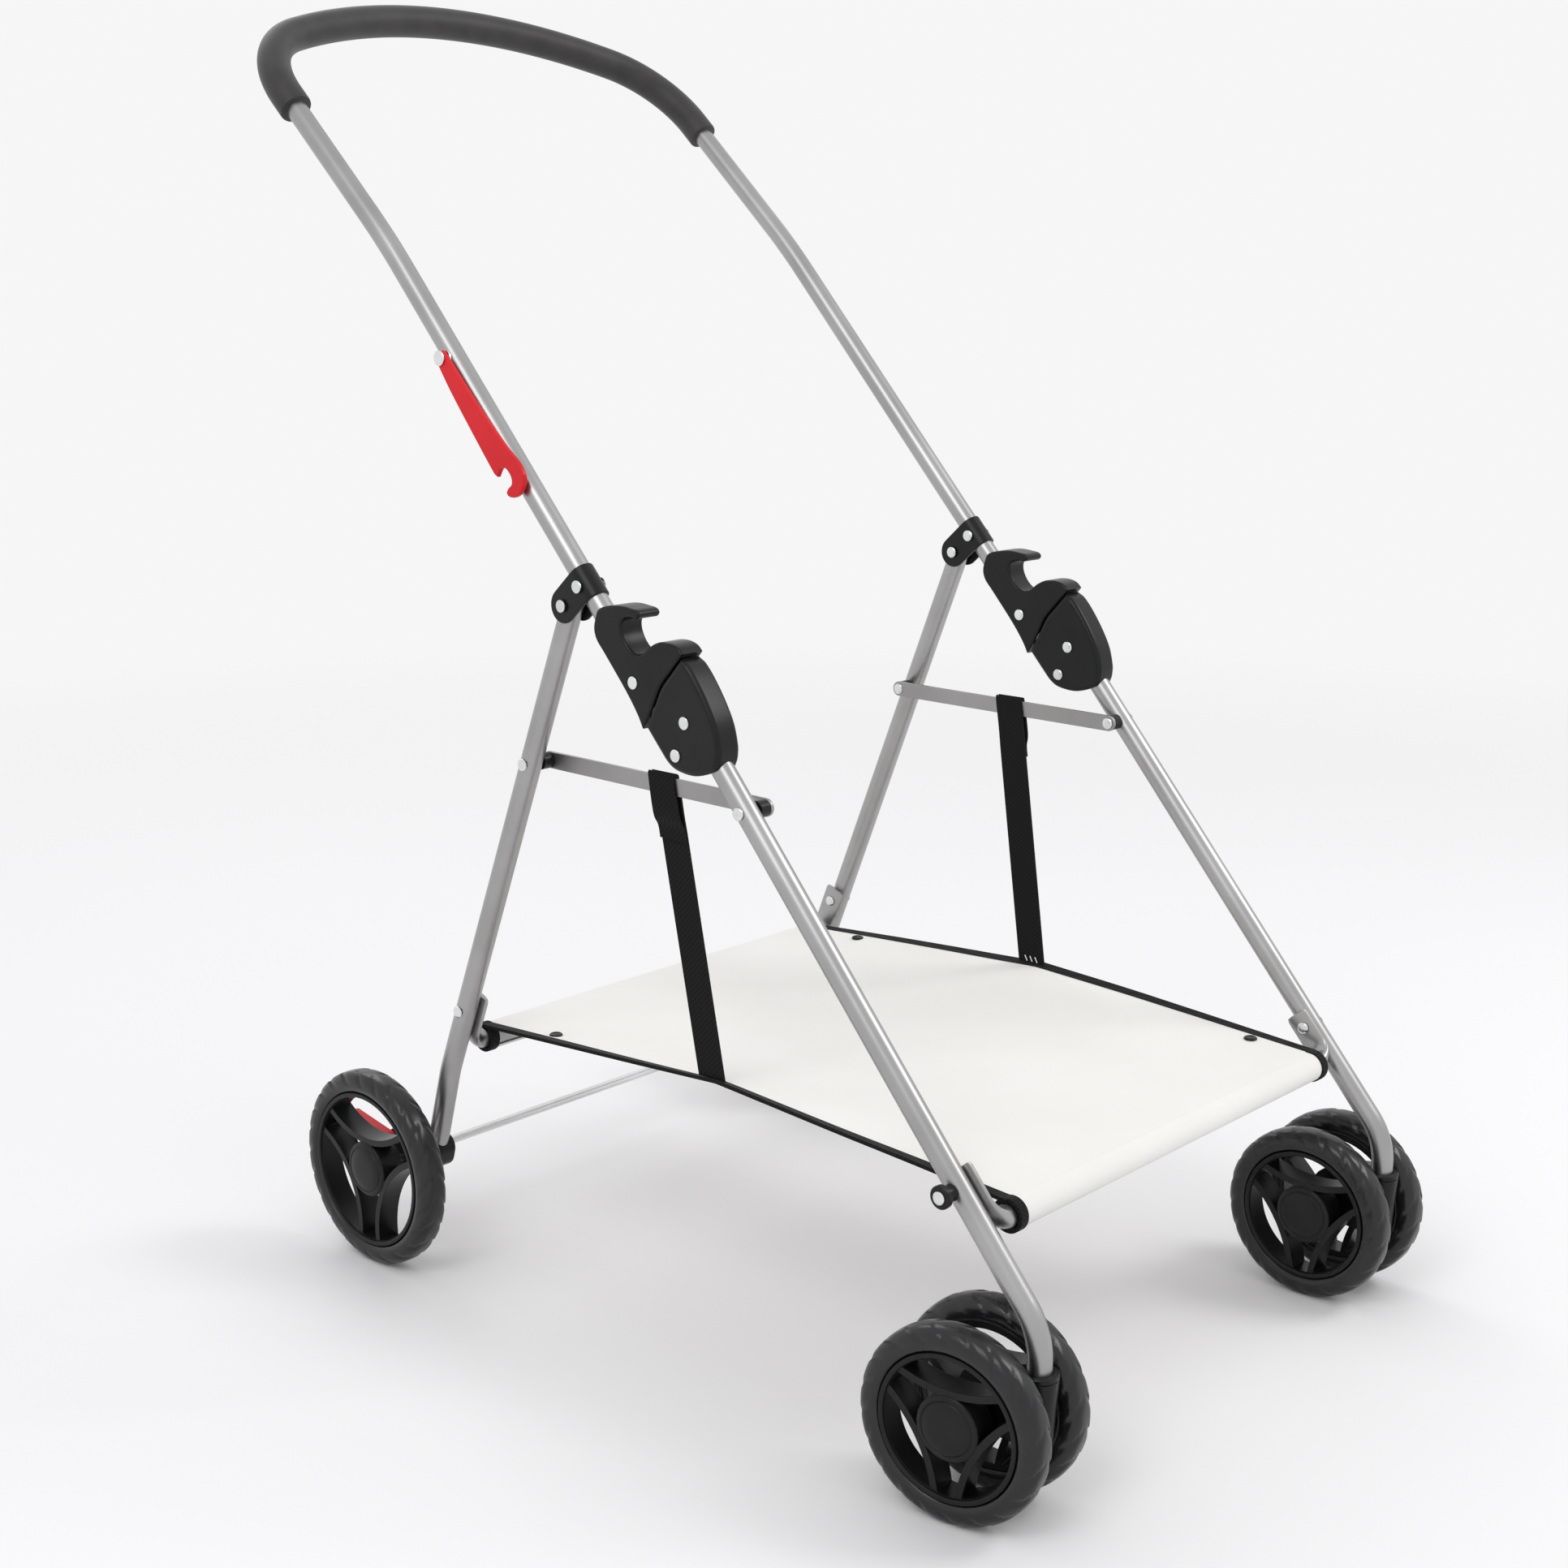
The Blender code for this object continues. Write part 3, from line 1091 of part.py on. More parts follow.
def add_snaps(sheet):
    """Press studs near the corners of the sheet."""
    sunk = SHEET_THICKNESS / 2
    profile = [(0, 0), (0, SNAP_RADIUS), (SNAP_HEIGHT, 0.8 * SNAP_RADIUS), (SNAP_HEIGHT, 0)]
    for y in (REAR_CROSS.y - 68 * MM, FRONT_CROSS.y + 46 * MM):
        for side in (-1, 1):
            x = side * (SHEET_HALF_WIDTH - SNAP_INSET)
            place = Vector((x, y, sheet_height(x, y) - sunk / 2))
            snap = moved(turned(profile, RIVET_SIDES), place, upright=True)
            combine(sheet, snap, "UNION")


def build_straps(bodies):
    """Webbing looped over the link bars, hanging to the sides of the sheet."""
    middle = LINK_FRONT.lerp(LINK_REAR, STRAP_AT)
    top = middle.z + BAR_HALF_WIDTH + 2 * FIT
    low_y = middle.y - STRAP_LEAN * (middle.z - FRONT_CROSS.z)
    bottom_x = SHEET_HALF_WIDTH - 2 * MM - LEG_PLANE
    bottom = sheet_height(bottom_x + LEG_PLANE, low_y) + SHEET_THICKNESS / 2 + 4 * FIT
    inner = -(BAR_INNER + 2 * FIT)
    outer = -(BAR_OUTER - 2 * FIT)
    thick = STRAP_THICKNESS
    tail = middle.z - STRAP_TAIL
    shape = [(inner, top), (inner, tail), (bottom_x, bottom), (bottom_x - thick, bottom), (inner - thick, tail),
             (inner - thick, top + thick), (outer + thick, top + thick), (outer + thick, tail), (outer, tail),
             (outer, top)]
    for name, side in SIDES:
        points = [Vector((x, middle.y - STRAP_WIDTH / 2, z)) for x, z in shape]
        bm = prism(points, Vector((0, STRAP_WIDTH, 0)))
        for vertex in bm.verts:
            vertex.co.y += STRAP_LEAN * (vertex.co.z - top)
        add_piece("strap_" + name, to_side(bm, side), "webbing", at_side(middle, side), bodies[name])


def main():
    """Build every piece under the pivots that carry it."""
    clear_scene()
    handle = pivot("handle_pivot", FOLD_PIVOT)
    rear = pivot("rear_frame_pivot", REAR_PIVOT, handle)
    hook = pivot("hook_pivot", at_side(HOOK_PIVOT, -1), handle)
    levers = {}
    links = {}
    pedals = {}
    casters = {}
    rear_wheels = {}
    front_wheels = {}
    for name, side in SIDES:
        levers[name] = pivot("lever_slide_" + name, at_side(on_handle(LEVER_RIVET_AT), side), handle)
        links[name] = pivot("link_pivot_" + name, at_side(LINK_FRONT, side))
        pedals[name] = pivot("pedal_pivot_" + name, at_side(PEDAL_PIVOT, side), rear)
        rear_wheels[name] = pivot("rear_wheel_axis_" + name, at_side(REAR_AXLE, side), rear)
        turn = CASTER_REST_TURN if side < 0 else 0
        kingpin = at_side(Vector((0, KINGPIN_BEND.y, COLLAR_TOP)), side)
        casters[name] = pivot("caster_pivot_" + name, kingpin, None, turn)
        for where in ("outer", "inner"):
            wheel = "front_" + name + "_" + where
            front_wheels[wheel] = pivot("axis_" + wheel, at_side(CASTER_AXLE, side), casters[name])
    build_front_legs()
    build_housings()
    build_front_pins()
    build_front_cross_tube()
    build_latch_stud()
    build_caster_collars()
    build_handle(handle)
    build_grip(handle)
    build_brackets(handle)
    build_handle_pins(handle)
    build_springs(handle)
    build_levers(levers)
    build_hook(hook)
    build_rear_legs(rear)
    build_rear_cross_tube(rear)
    build_rear_pins(rear)
    build_axle_sockets(rear)
    build_axle(rear)
    build_pedals(pedals)
    build_links(links)
    build_rear_wheels(rear_wheels)
    build_casters(casters, front_wheels)
    build_sheet()
    build_straps(links)


main()
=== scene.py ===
# %% [markdown]
# # A folding pet stroller frame
#
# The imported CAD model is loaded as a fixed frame, with a body for each part that moves.
# Each cell then draws one group of pieces in full detail, in the same place as its CAD
# nodes, and lets it ride on the right body.

# %% Load the frame
import math

import bmesh
import bpy
from mathutils import Matrix, Vector, noise


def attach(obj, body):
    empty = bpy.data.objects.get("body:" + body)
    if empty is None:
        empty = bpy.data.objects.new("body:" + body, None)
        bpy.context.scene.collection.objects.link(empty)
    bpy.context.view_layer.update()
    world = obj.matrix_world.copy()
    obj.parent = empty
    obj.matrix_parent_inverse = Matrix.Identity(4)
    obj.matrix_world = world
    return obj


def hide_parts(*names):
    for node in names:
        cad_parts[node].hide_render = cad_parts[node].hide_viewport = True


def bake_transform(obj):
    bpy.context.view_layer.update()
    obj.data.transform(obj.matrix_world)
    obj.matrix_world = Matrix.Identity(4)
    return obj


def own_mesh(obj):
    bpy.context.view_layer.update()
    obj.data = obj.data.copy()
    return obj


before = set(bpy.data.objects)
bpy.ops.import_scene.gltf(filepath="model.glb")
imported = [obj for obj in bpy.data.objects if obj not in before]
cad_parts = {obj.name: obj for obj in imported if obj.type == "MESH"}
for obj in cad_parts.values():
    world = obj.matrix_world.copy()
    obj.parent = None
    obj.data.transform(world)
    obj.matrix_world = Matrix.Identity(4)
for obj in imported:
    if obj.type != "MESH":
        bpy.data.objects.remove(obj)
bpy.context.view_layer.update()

# %% [markdown]
# ## Sizes and places
#
# All sizes are in millimetres here, and become metres on the way in. They are the frame's
# own sizes. Every place on a leg or on the handle is a distance along that tube, so a rivet
# stays on its tube when a tube's slope changes.

# %% Sizes
MM = 0.001
SIDES = (("right", -1), ("left", 1))
LEG_PLANE = 214 * MM
TUBE_RADIUS = 8 * MM
GRIP_RADIUS = 12.5 * MM
HOUSING_HALF = 10.5 * MM
PLAY = 0.3 * MM
SPACER_END = 16.6 * MM
BAR_OUTER = SPACER_END + PLAY
BAR_INNER = BAR_OUTER + 2.7 * MM
RIVET_HEAD = 4.5 * MM
RIVET_RISE = 1.6 * MM
STUD_LENGTH = 11.5 * MM
REAR_WHEEL_RADIUS = 77 * MM
FRONT_WHEEL_RADIUS = 65 * MM
REAR_WHEEL_OUT = 37.1 * MM
CASTER_WHEEL_OUT = 25 * MM
HANDLE_ANGLE = math.radians(48)
UPPER_HANDLE_ANGLE = HANDLE_ANGLE - math.radians(4.95)
FRONT_LEG_ANGLE = math.radians(49.4)
REAR_LEG_ANGLE = math.radians(22)
REAR_FOOT_ANGLE = math.radians(16.2)
CASTER_TURN = math.radians(7.9)
print("legs", round(2000 * LEG_PLANE), "mm apart")

# %% Directions and places
X_AXIS = Vector((1, 0, 0))
HANDLE_WAY = Vector((0, math.cos(HANDLE_ANGLE), math.sin(HANDLE_ANGLE)))
HANDLE_FRONT = Vector((0, -math.sin(HANDLE_ANGLE), math.cos(HANDLE_ANGLE)))
UPPER_WAY = Vector((0, math.cos(UPPER_HANDLE_ANGLE), math.sin(UPPER_HANDLE_ANGLE)))
FRONT_LEG_WAY = Vector((0, math.cos(FRONT_LEG_ANGLE), math.sin(FRONT_LEG_ANGLE)))
REAR_LEG_WAY = Vector((0, math.sin(REAR_LEG_ANGLE), -math.cos(REAR_LEG_ANGLE)))
REAR_FOOT_WAY = Vector((0, math.sin(REAR_FOOT_ANGLE), -math.cos(REAR_FOOT_ANGLE)))
FOLD_PIVOT = Vector((0, -89.6, 443.5)) * MM
LEG_AHEAD = 21.25
BRACKET_AT = 139.5


def on_handle(along, forward=0.0, x=0.0):
    """A point of the leg frame, in mm along and forward of the handle's lower arm."""
    return FOLD_PIVOT + (HANDLE_WAY * along + HANDLE_FRONT * forward + X_AXIS * x) * MM


def on_front_leg(along):
    """A point on the front leg's axis, in mm up from the spot ahead of the fold pivot."""
    return on_handle(0, LEG_AHEAD) + FRONT_LEG_WAY * along * MM


def on_rear_leg(along):
    """A point on the rear leg's axis, in mm down from its pivot."""
    return REAR_PIVOT + REAR_LEG_WAY * along * MM


REAR_PIVOT = on_handle(BRACKET_AT, -22)
HOOK_PIVOT = on_handle(340.5)
HANDLE_BEND = on_handle(450)
LINK_FRONT = on_front_leg(-59.8)
LINK_REAR = on_rear_leg(127.7)
FRONT_CROSS_RIVET = on_front_leg(-336.4)
FRONT_CROSS = on_front_leg(-336.4 - 27.5)
REAR_CROSS_RIVET = on_rear_leg(346)
REAR_CROSS = on_rear_leg(346 + 34)
KINGPIN_BEND = on_front_leg(-435)
REAR_BEND = on_rear_leg(402)
SOCKET_TOP = REAR_BEND + REAR_FOOT_WAY * (REAR_BEND.z - 99.4 * MM) / math.cos(REAR_FOOT_ANGLE)
REAR_AXLE = Vector((0, SOCKET_TOP.y + 32.9 * MM, REAR_WHEEL_RADIUS))
PEDAL_PIVOT = REAR_AXLE + Vector((0, 12, 13)) * MM
PEDAL_TIP = REAR_AXLE + Vector((0, 53, 24)) * MM
CASTER_AXLE = Vector((0, KINGPIN_BEND.y + 44.7 * MM, FRONT_WHEEL_RADIUS))
print("rear axle at", [round(c, 3) for c in REAR_AXLE])

# %% [markdown]
# ## Material helpers
#
# A finish could be painted on with pictures, but noise and waves in object space need no
# unwrapping, and have their real size on every piece. One small function adds a node with
# its settings and links. Colours are written as hex, and one function makes them linear.


# %% Material helpers
def linear(code):
    """The linear colour of an sRGB hex code."""
    parts = [int(code[index:index + 2], 16) / 255 for index in (0, 2, 4)]
    return tuple(c / 12.92 if c <= 0.04045 else ((c + 0.055) / 1.055) ** 2.4 for c in parts)


def add_node(tree, kind, sockets=None, **settings):
    """Add a node, set its settings, and set or link its input sockets by name."""
    node = tree.nodes.new(kind)
    for name, value in settings.items():
        setattr(node, name, value)
    for name, value in (sockets or {}).items():
        if isinstance(value, bpy.types.NodeSocket):
            tree.links.new(value, node.inputs[name])
        else:
            node.inputs[name].default_value = value
    return node


def new_material(name, roughness, metallic=0.0, **shader_values):
    """A Principled material with the values that are the same all over it."""
    material = bpy.data.materials.new(name)
    material.use_nodes = True
    shader = material.node_tree.nodes["Principled BSDF"]
    shader.inputs["Roughness"].default_value = roughness
    shader.inputs["Metallic"].default_value = metallic
    for socket, value in shader_values.items():
        shader.inputs[socket.replace("_", " ")].default_value = value
    return material, material.node_tree, shader


def object_noise(tree, size, detail=3.0):
    """Noise in object space, whose patches are about as large as the given size."""
    place = add_node(tree, "ShaderNodeTexCoord").outputs["Object"]
    found = add_node(tree, "ShaderNodeTexNoise", {"Vector": place, "Scale": 1 / size, "Detail": detail})
    return found.outputs["Fac"]


def waves(tree, spacing, direction):
    """Parallel bands in object space with the given spacing, as in woven cloth."""
    turns = 10 if direction == "DIAGONAL" else 20
    place = add_node(tree, "ShaderNodeTexCoord").outputs["Object"]
    found = add_node(tree, "ShaderNodeTexWave",
                     {"Vector": place, "Scale": math.tau / (turns * spacing), "Distortion": 0.4},
                     bands_direction=direction)
    return found.outputs["Fac"]


def ramp(tree, factor, low, high, start=0.35, end=0.65):
    """A blend of two hex colours by a factor."""
    node = add_node(tree, "ShaderNodeValToRGB", {"Fac": factor})
    node.color_ramp.elements[0].position = start
    node.color_ramp.elements[1].position = end
    node.color_ramp.elements[0].color = (*linear(low), 1)
    node.color_ramp.elements[1].color = (*linear(high), 1)
    return node.outputs["Color"]


def spread(tree, factor, low, high):
    """A factor remapped to a range of numbers."""
    node = add_node(tree, "ShaderNodeMapRange", {"Value": factor, "To Min": low, "To Max": high})
    return node.outputs["Result"]


def link_bump(tree, shader, height, strength, distance):
    """Give a shader a bump from a height."""
    bump = add_node(tree, "ShaderNodeBump", {"Height": height, "Strength": strength, "Distance": distance})
    tree.links.new(bump.outputs["Normal"], shader.inputs["Normal"])


print("material helpers ready")

# %% [markdown]
# ## Metals
#
# The tubes are aluminium with a satin anodised skin, and the flat bars are steel with a dull
# grey coat, which reflects more softly. The rivets, pins and axles are bright zinc on
# steel. A metal keeps the default IOR, and its colour is what it reflects. Hands and
# rolling leave faint patches some 70 mm long. The real grain is near 0.1 mm, too fine to
# show, so it is drawn at 0.7 mm.


# %% Metals
def metal(name, low, high, roughness):
    """A satin metal with faint patches and a fine grain."""
    material, tree, shader = new_material(name, roughness, 1.0)
    patches = object_noise(tree, 70 * MM, 4)
    tree.links.new(ramp(tree, patches, low, high), shader.inputs["Base Color"])
    tree.links.new(spread(tree, patches, roughness - 0.03, roughness + 0.04), shader.inputs["Roughness"])
    link_bump(tree, shader, object_noise(tree, 0.7 * MM, 2), 0.04, 0.05 * MM)
    return material


TUBE = metal("anodised_tube", "a2a1a0", "aeadad", 0.34)
BAR = metal("coated_steel", "989695", "a4a2a1", 0.42)
STEEL = metal("bright_zinc", "d4d6d6", "e8eaea", 0.24)
print("metals", [material.name for material in (TUBE, BAR, STEEL)])

# %% [markdown]
# ## Plastics
#
# The housings, brackets and wheels are injection-moulded nylon or ABS. Spark-eroded moulds
# leave a grain of about 0.3 mm, drawn here at 1.1 mm so that it shows, and it breaks up the
# gloss. The tyres are soft PVC with a smoother, wetter shine. The red hook and pedals are
# coloured through, so only their shade varies. The sewing thread is twisted polyester.


# %% Plastics
def plastic(name, low, high, roughness, grain, strength=0.12, gloss=0.24):
    """Moulded plastic with a fine grain and slightly worn patches."""
    material, tree, shader = new_material(name, roughness, Specular_IOR_Level=gloss)
    patches = object_noise(tree, 45 * MM, 3)
    tree.links.new(ramp(tree, patches, low, high), shader.inputs["Base Color"])
    tree.links.new(spread(tree, patches, roughness - 0.05, roughness + 0.07), shader.inputs["Roughness"])
    link_bump(tree, shader, object_noise(tree, grain, 2), strength, 0.08 * MM)
    return material


BLACK = plastic("black_nylon", "0f1011", "171818", 0.3, 1.1 * MM)
RED = plastic("red_nylon", "cb1721", "d81e28", 0.32, 1.4 * MM, 0.06)
TYRE = plastic("tyre_pvc", "111214", "18191b", 0.28, 1.9 * MM, 0.08, 0.48)
THREAD = plastic("polyester_thread", "e8e6e0", "f5f3ee", 0.7, 0.6 * MM, 0.3)
print("plastics", [material.name for material in (BLACK, RED, TYRE, THREAD)])

# %% [markdown]
# ## Foam, cloth and webbing
#
# The grip is closed-cell foam rubber, matt with a dusty sheen at its edges, and its cells
# are drawn at 1.1 mm. The sheet is off-white polyester canvas: two sets of threads cross,
# drawn 1.2 mm apart, about twice as coarse as real ones. The straps and the binding are
# polypropylene tape, with ribs across it each 1.5 mm and a slanting twill.


# %% Foam, cloth and webbing
def foam_material():
    """Closed-cell foam: soft, matt, with small pores."""
    material, tree, shader = new_material("foam_rubber", 0.55, Sheen_Weight=0.16, Sheen_Roughness=0.4)
    place = add_node(tree, "ShaderNodeTexCoord").outputs["Object"]
    cells = add_node(tree, "ShaderNodeTexVoronoi", {"Vector": place, "Scale": 1 / (1.1 * MM)})
    shade = ramp(tree, object_noise(tree, 17 * MM, 5), "242221", "2e2b2a")
    tree.links.new(shade, shader.inputs["Base Color"])
    link_bump(tree, shader, cells.outputs["Distance"], 0.35, 0.2 * MM)
    return material


def cloth_material():
    """Off-white woven cloth with two crossing sets of threads."""
    material, tree, shader = new_material("polyester_canvas", 0.88, Sheen_Weight=0.15, Sheen_Roughness=0.5)
    warp = waves(tree, 1.2 * MM, "X")
    weft = waves(tree, 1.2 * MM, "Y")
    weave = add_node(tree, "ShaderNodeMath", {0: warp, 1: weft}, operation="MAXIMUM").outputs["Value"]
    shade = ramp(tree, object_noise(tree, 110 * MM, 3), "e9e7e3", "f4f3f0", 0, 1)
    tree.links.new(shade, shader.inputs["Base Color"])
    link_bump(tree, shader, weave, 0.3, 0.15 * MM)
    return material


def webbing_material(name, low, high):
    """Black woven tape with ribs across it."""
    material, tree, shader = new_material(name, 0.74, Sheen_Weight=0.05, Sheen_Roughness=0.45,
                                          Specular_IOR_Level=0.14)
    ribs = waves(tree, 1.5 * MM, "Z")
    twill = waves(tree, 3.9 * MM, "DIAGONAL")
    height = add_node(tree, "ShaderNodeMath", {0: ribs, 1: twill}, operation="MULTIPLY").outputs["Value"]
    tree.links.new(ramp(tree, height, low, high, 0.1, 0.9), shader.inputs["Base Color"])
    link_bump(tree, shader, height, 0.5, 0.25 * MM)
    return material


FOAM = foam_material()
CLOTH = cloth_material()
WEBBING = webbing_material("webbing", "0a0a0b", "1c1c1e")
BINDING = webbing_material("binding", "0f0f10", "222223")
print("materials", len(bpy.data.materials))

# %% [markdown]
# ## From a shape to a finished piece
#
# Pieces of one side are drawn in a leg frame, whose x runs outboard from the plane of the
# legs, and one function puts them on their side. Another makes the object: it gives it a
# material and soft edges, the body that carries it and the CAD nodes that it stands for.
# A bevel modifier is enough for most edges, because it can be changed later.


# %% Placing shapes
def to_side(bm, side, plane=LEG_PLANE):
    """Take a shape from the leg frame to its side of the stroller."""
    for vertex in bm.verts:
        vertex.co.x = side * (vertex.co.x + plane)
    if side < 0:
        bmesh.ops.reverse_faces(bm, faces=bm.faces)
    return bm


def moved(bm, place):
    """Move a shape."""
    bmesh.ops.translate(bm, verts=bm.verts, vec=place)
    return bm


print("placing tools ready")


# %% Finished pieces
def piece(name, bm, material, body, replaces=(), bevel=0.0, segments=3, angle=32, even=False):
    """Make an object that rides on a body and stands for CAD nodes."""
    mesh = bpy.data.meshes.new(name)
    bm.to_mesh(mesh)
    bm.free()
    mesh.shade_smooth()
    mesh.set_sharp_from_angle(angle=math.radians(angle))
    mesh.materials.append(material)
    made = bpy.data.objects.new(name, mesh)
    bpy.context.scene.collection.objects.link(made)
    if bevel:
        rounding = made.modifiers.new("edges", "BEVEL")
        rounding.width = bevel
        rounding.segments = segments
        rounding.limit_method = "ANGLE"
        rounding.angle_limit = math.radians(35)
        rounding.harden_normals = True
    if even:
        made.modifiers.new("even_faces", "WEIGHTED_NORMAL").keep_sharp = True
    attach(made, body)
    if replaces:
        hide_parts(*replaces)
    return made


print("piece tool ready")

# %% [markdown]
# ## Tubes
#
# The handle and legs are bent from 16 mm tube. A curve with a bevel depth would give the
# same round bars, but the cross tubes have ends that are pressed flat, so all of them are
# rings joined along a path, and each ring may have its own width and height. The path is a
# few corners, rounded by arcs as a tube bender does.


# %% Sweeping tools
def add_ring(bm, centre, across, up, half_across, half_up, sides):
    """Add an oval ring, and return its corners and edges."""
    columns = Matrix((across * half_across, up * half_up, across.cross(up))).transposed()
    matrix = Matrix.Translation(centre) @ columns.to_4x4()
    verts = bmesh.ops.create_circle(bm, segments=sides, radius=1, matrix=matrix)["verts"]
    return verts, list({edge for vertex in verts for edge in vertex.link_edges})


def swept(path, radii, sides=28):
    """Sweep an oval section along a path, with closed ends."""
    bm = bmesh.new()
    rings = []
    across = X_AXIS
    for index, centre in enumerate(path):
        before = path[max(index - 1, 0)]
        after = path[min(index + 1, len(path) - 1)]
        along = (after - before).normalized()
        across = (across - along * across.dot(along)).normalized()
        rings.append(add_ring(bm, centre, across, along.cross(across), *radii[index], sides))
    for first, second in zip(rings, rings[1:]):
        bmesh.ops.bridge_loops(bm, edges=first[1] + second[1])
    for ring in (rings[0], rings[-1]):
        bm.faces.new(ring[0])
    bmesh.ops.recalc_face_normals(bm, faces=bm.faces)
    return bm


def round_bar(path, radius, sides=28):
    """A round bar along a path."""
    return swept(path, [(radius, radius)] * len(path), sides)


def rounded_path(corners, radii, steps=10):
    """The points of a polyline whose inner corners are arcs of the given radii."""
    points = [corners[0]]
    for index, radius in enumerate(radii, start=1):
        corner = corners[index]
        back = (corners[index - 1] - corner).normalized()
        ahead = (corners[index + 1] - corner).normalized()
        half = back.angle(ahead) / 2
        centre = corner + (back + ahead).normalized() * radius / math.sin(half)
        spoke = corner + back * radius / math.tan(half) - centre
        for step in range(steps + 1):
            turn = Matrix.Rotation(-(math.pi - 2 * half) * step / steps, 3, back.cross(ahead))
            points.append(centre + turn @ spoke)
    points.append(corners[-1])
    return points


print("sweeping tools ready")


# %% Handle
def handle_path(corner_steps=14, arch_steps=14):
    """The handle's axis from the left lower end round to the right one."""
    corner_start = 156 * MM
    corner_radius = 80 * MM
    arch_radius = 430 * MM
    arch_half = math.radians(22.6)
    half = rounded_path([on_handle(-10), HANDLE_BEND, HANDLE_BEND + UPPER_WAY * corner_start], [600 * MM], 6)
    points = [point + X_AXIS * LEG_PLANE for point in half]
    for step in range(1, corner_steps + 1):
        angle = (math.pi / 2 - arch_half) * step / corner_steps
        x = LEG_PLANE - corner_radius + corner_radius * math.cos(angle)
        rise = corner_start + corner_radius * math.sin(angle)
        points.append(HANDLE_BEND + UPPER_WAY * rise + X_AXIS * x)
    reach = math.asin(x / arch_radius)
    base = rise - arch_radius * math.cos(reach)
    for step in range(1, arch_steps + 1):
        angle = reach * (1 - step / arch_steps)
        rise = base + arch_radius * math.cos(angle)
        points.append(HANDLE_BEND + UPPER_WAY * rise + X_AXIS * arch_radius * math.sin(angle))
    mirrored = [Vector((-point.x, point.y, point.z)) for point in points[:-1]]
    return points + mirrored[::-1]


piece("handle", round_bar(handle_path(), TUBE_RADIUS), TUBE, "handle", ["handle_tube"])
print("handle", len(handle_path()), "rings")

# %% [markdown]
# The grip is a foam tube pushed over the arch of the handle. It follows the same path, a
# little finer, and its ends are drawn in by three smaller rings, as cut foam rounds off.

# %% Foam grip
grip_start = HANDLE_BEND + UPPER_WAY * 140 * MM
grip_path = [point for point in handle_path(20, 18) if point.dot(UPPER_WAY) > grip_start.dot(UPPER_WAY)]
left_end = grip_start + X_AXIS * LEG_PLANE
right_end = grip_start - X_AXIS * LEG_PLANE
lead_in = [0.0, 0.6 * MM, 2 * MM]
lead_radii = [GRIP_RADIUS - 1.4 * MM, GRIP_RADIUS - 0.4 * MM, GRIP_RADIUS]
grip_path = [left_end + UPPER_WAY * step for step in lead_in] + grip_path
grip_path += [right_end + UPPER_WAY * step for step in lead_in[::-1]]
radii = lead_radii + [GRIP_RADIUS] * (len(grip_path) - 6) + lead_radii[::-1]
grip = swept(grip_path, [(radius, radius) for radius in radii], 40)
piece("grip", grip, FOAM, "handle", ["foam_grip"])
print("grip")

# %% Legs
front_foot = Vector((0, KINGPIN_BEND.y, 84 * MM))
front_path = rounded_path([on_front_leg(23.5), KINGPIN_BEND, front_foot], [50 * MM], 12)
rear_foot = SOCKET_TOP + REAR_FOOT_WAY * 14.7 * MM
rear_path = rounded_path([on_rear_leg(-8), REAR_BEND, rear_foot], [90 * MM], 6)
for name, side in SIDES:
    front = to_side(round_bar(front_path, TUBE_RADIUS), side)
    piece("front_tube_" + name, front, TUBE, "front_frame", ["front_leg_" + name])
    rear = to_side(round_bar(rear_path, TUBE_RADIUS), side)
    piece("rear_tube_" + name, rear, TUBE, "rear_frame", ["rear_leg_" + name])
print("four legs")


# %% Cross tubes
def cross_tube(rivet_place, way, axis_place):
    """A tube whose flattened ends lie on the inner sides of two legs."""
    flat_x = TUBE_RADIUS + PLAY + 2.2 * MM
    start = rivet_place - way * 12 * MM
    half = rounded_path([start, axis_place, axis_place - X_AXIS * LEG_PLANE], [14 * MM], 10)
    tip = [start + way * step for step in (0.5 * MM, 3 * MM)]
    half = [start] + tip + half[1:-1]
    sizes = [(1.2 * MM, 6 * MM), (2.1 * MM, 9 * MM), (2.2 * MM, 10 * MM)]
    for step in range(len(half) - 3):
        share = (step / 10) ** 2
        sizes.append((2.2 * MM + 5.8 * MM * share, 10 * MM - 2 * MM * share))
    left = [point + X_AXIS * (LEG_PLANE - flat_x) for point in half]
    right = [Vector((-point.x, point.y, point.z)) for point in left]
    return swept(left + right[::-1], sizes + sizes[::-1])


front_bar = cross_tube(FRONT_CROSS_RIVET, -FRONT_LEG_WAY, FRONT_CROSS)
piece("front_cross", front_bar, TUBE, "front_frame", ["front_cross_tube"])
rear_bar = cross_tube(REAR_CROSS_RIVET, REAR_LEG_WAY, REAR_CROSS)
piece("rear_cross", rear_bar, TUBE, "rear_frame", ["rear_cross_tube"])
print("cross tubes")

# %% [markdown]
# ## Rivets, pins and axle
#
# A machine presses each rivet's head into a low dome. A cylinder with a squashed sphere on
# it would show a seam, so a half profile is drawn and spun round the X axis, head, shank
# and shoulder in one. The link bars stand off the legs on black bushes.


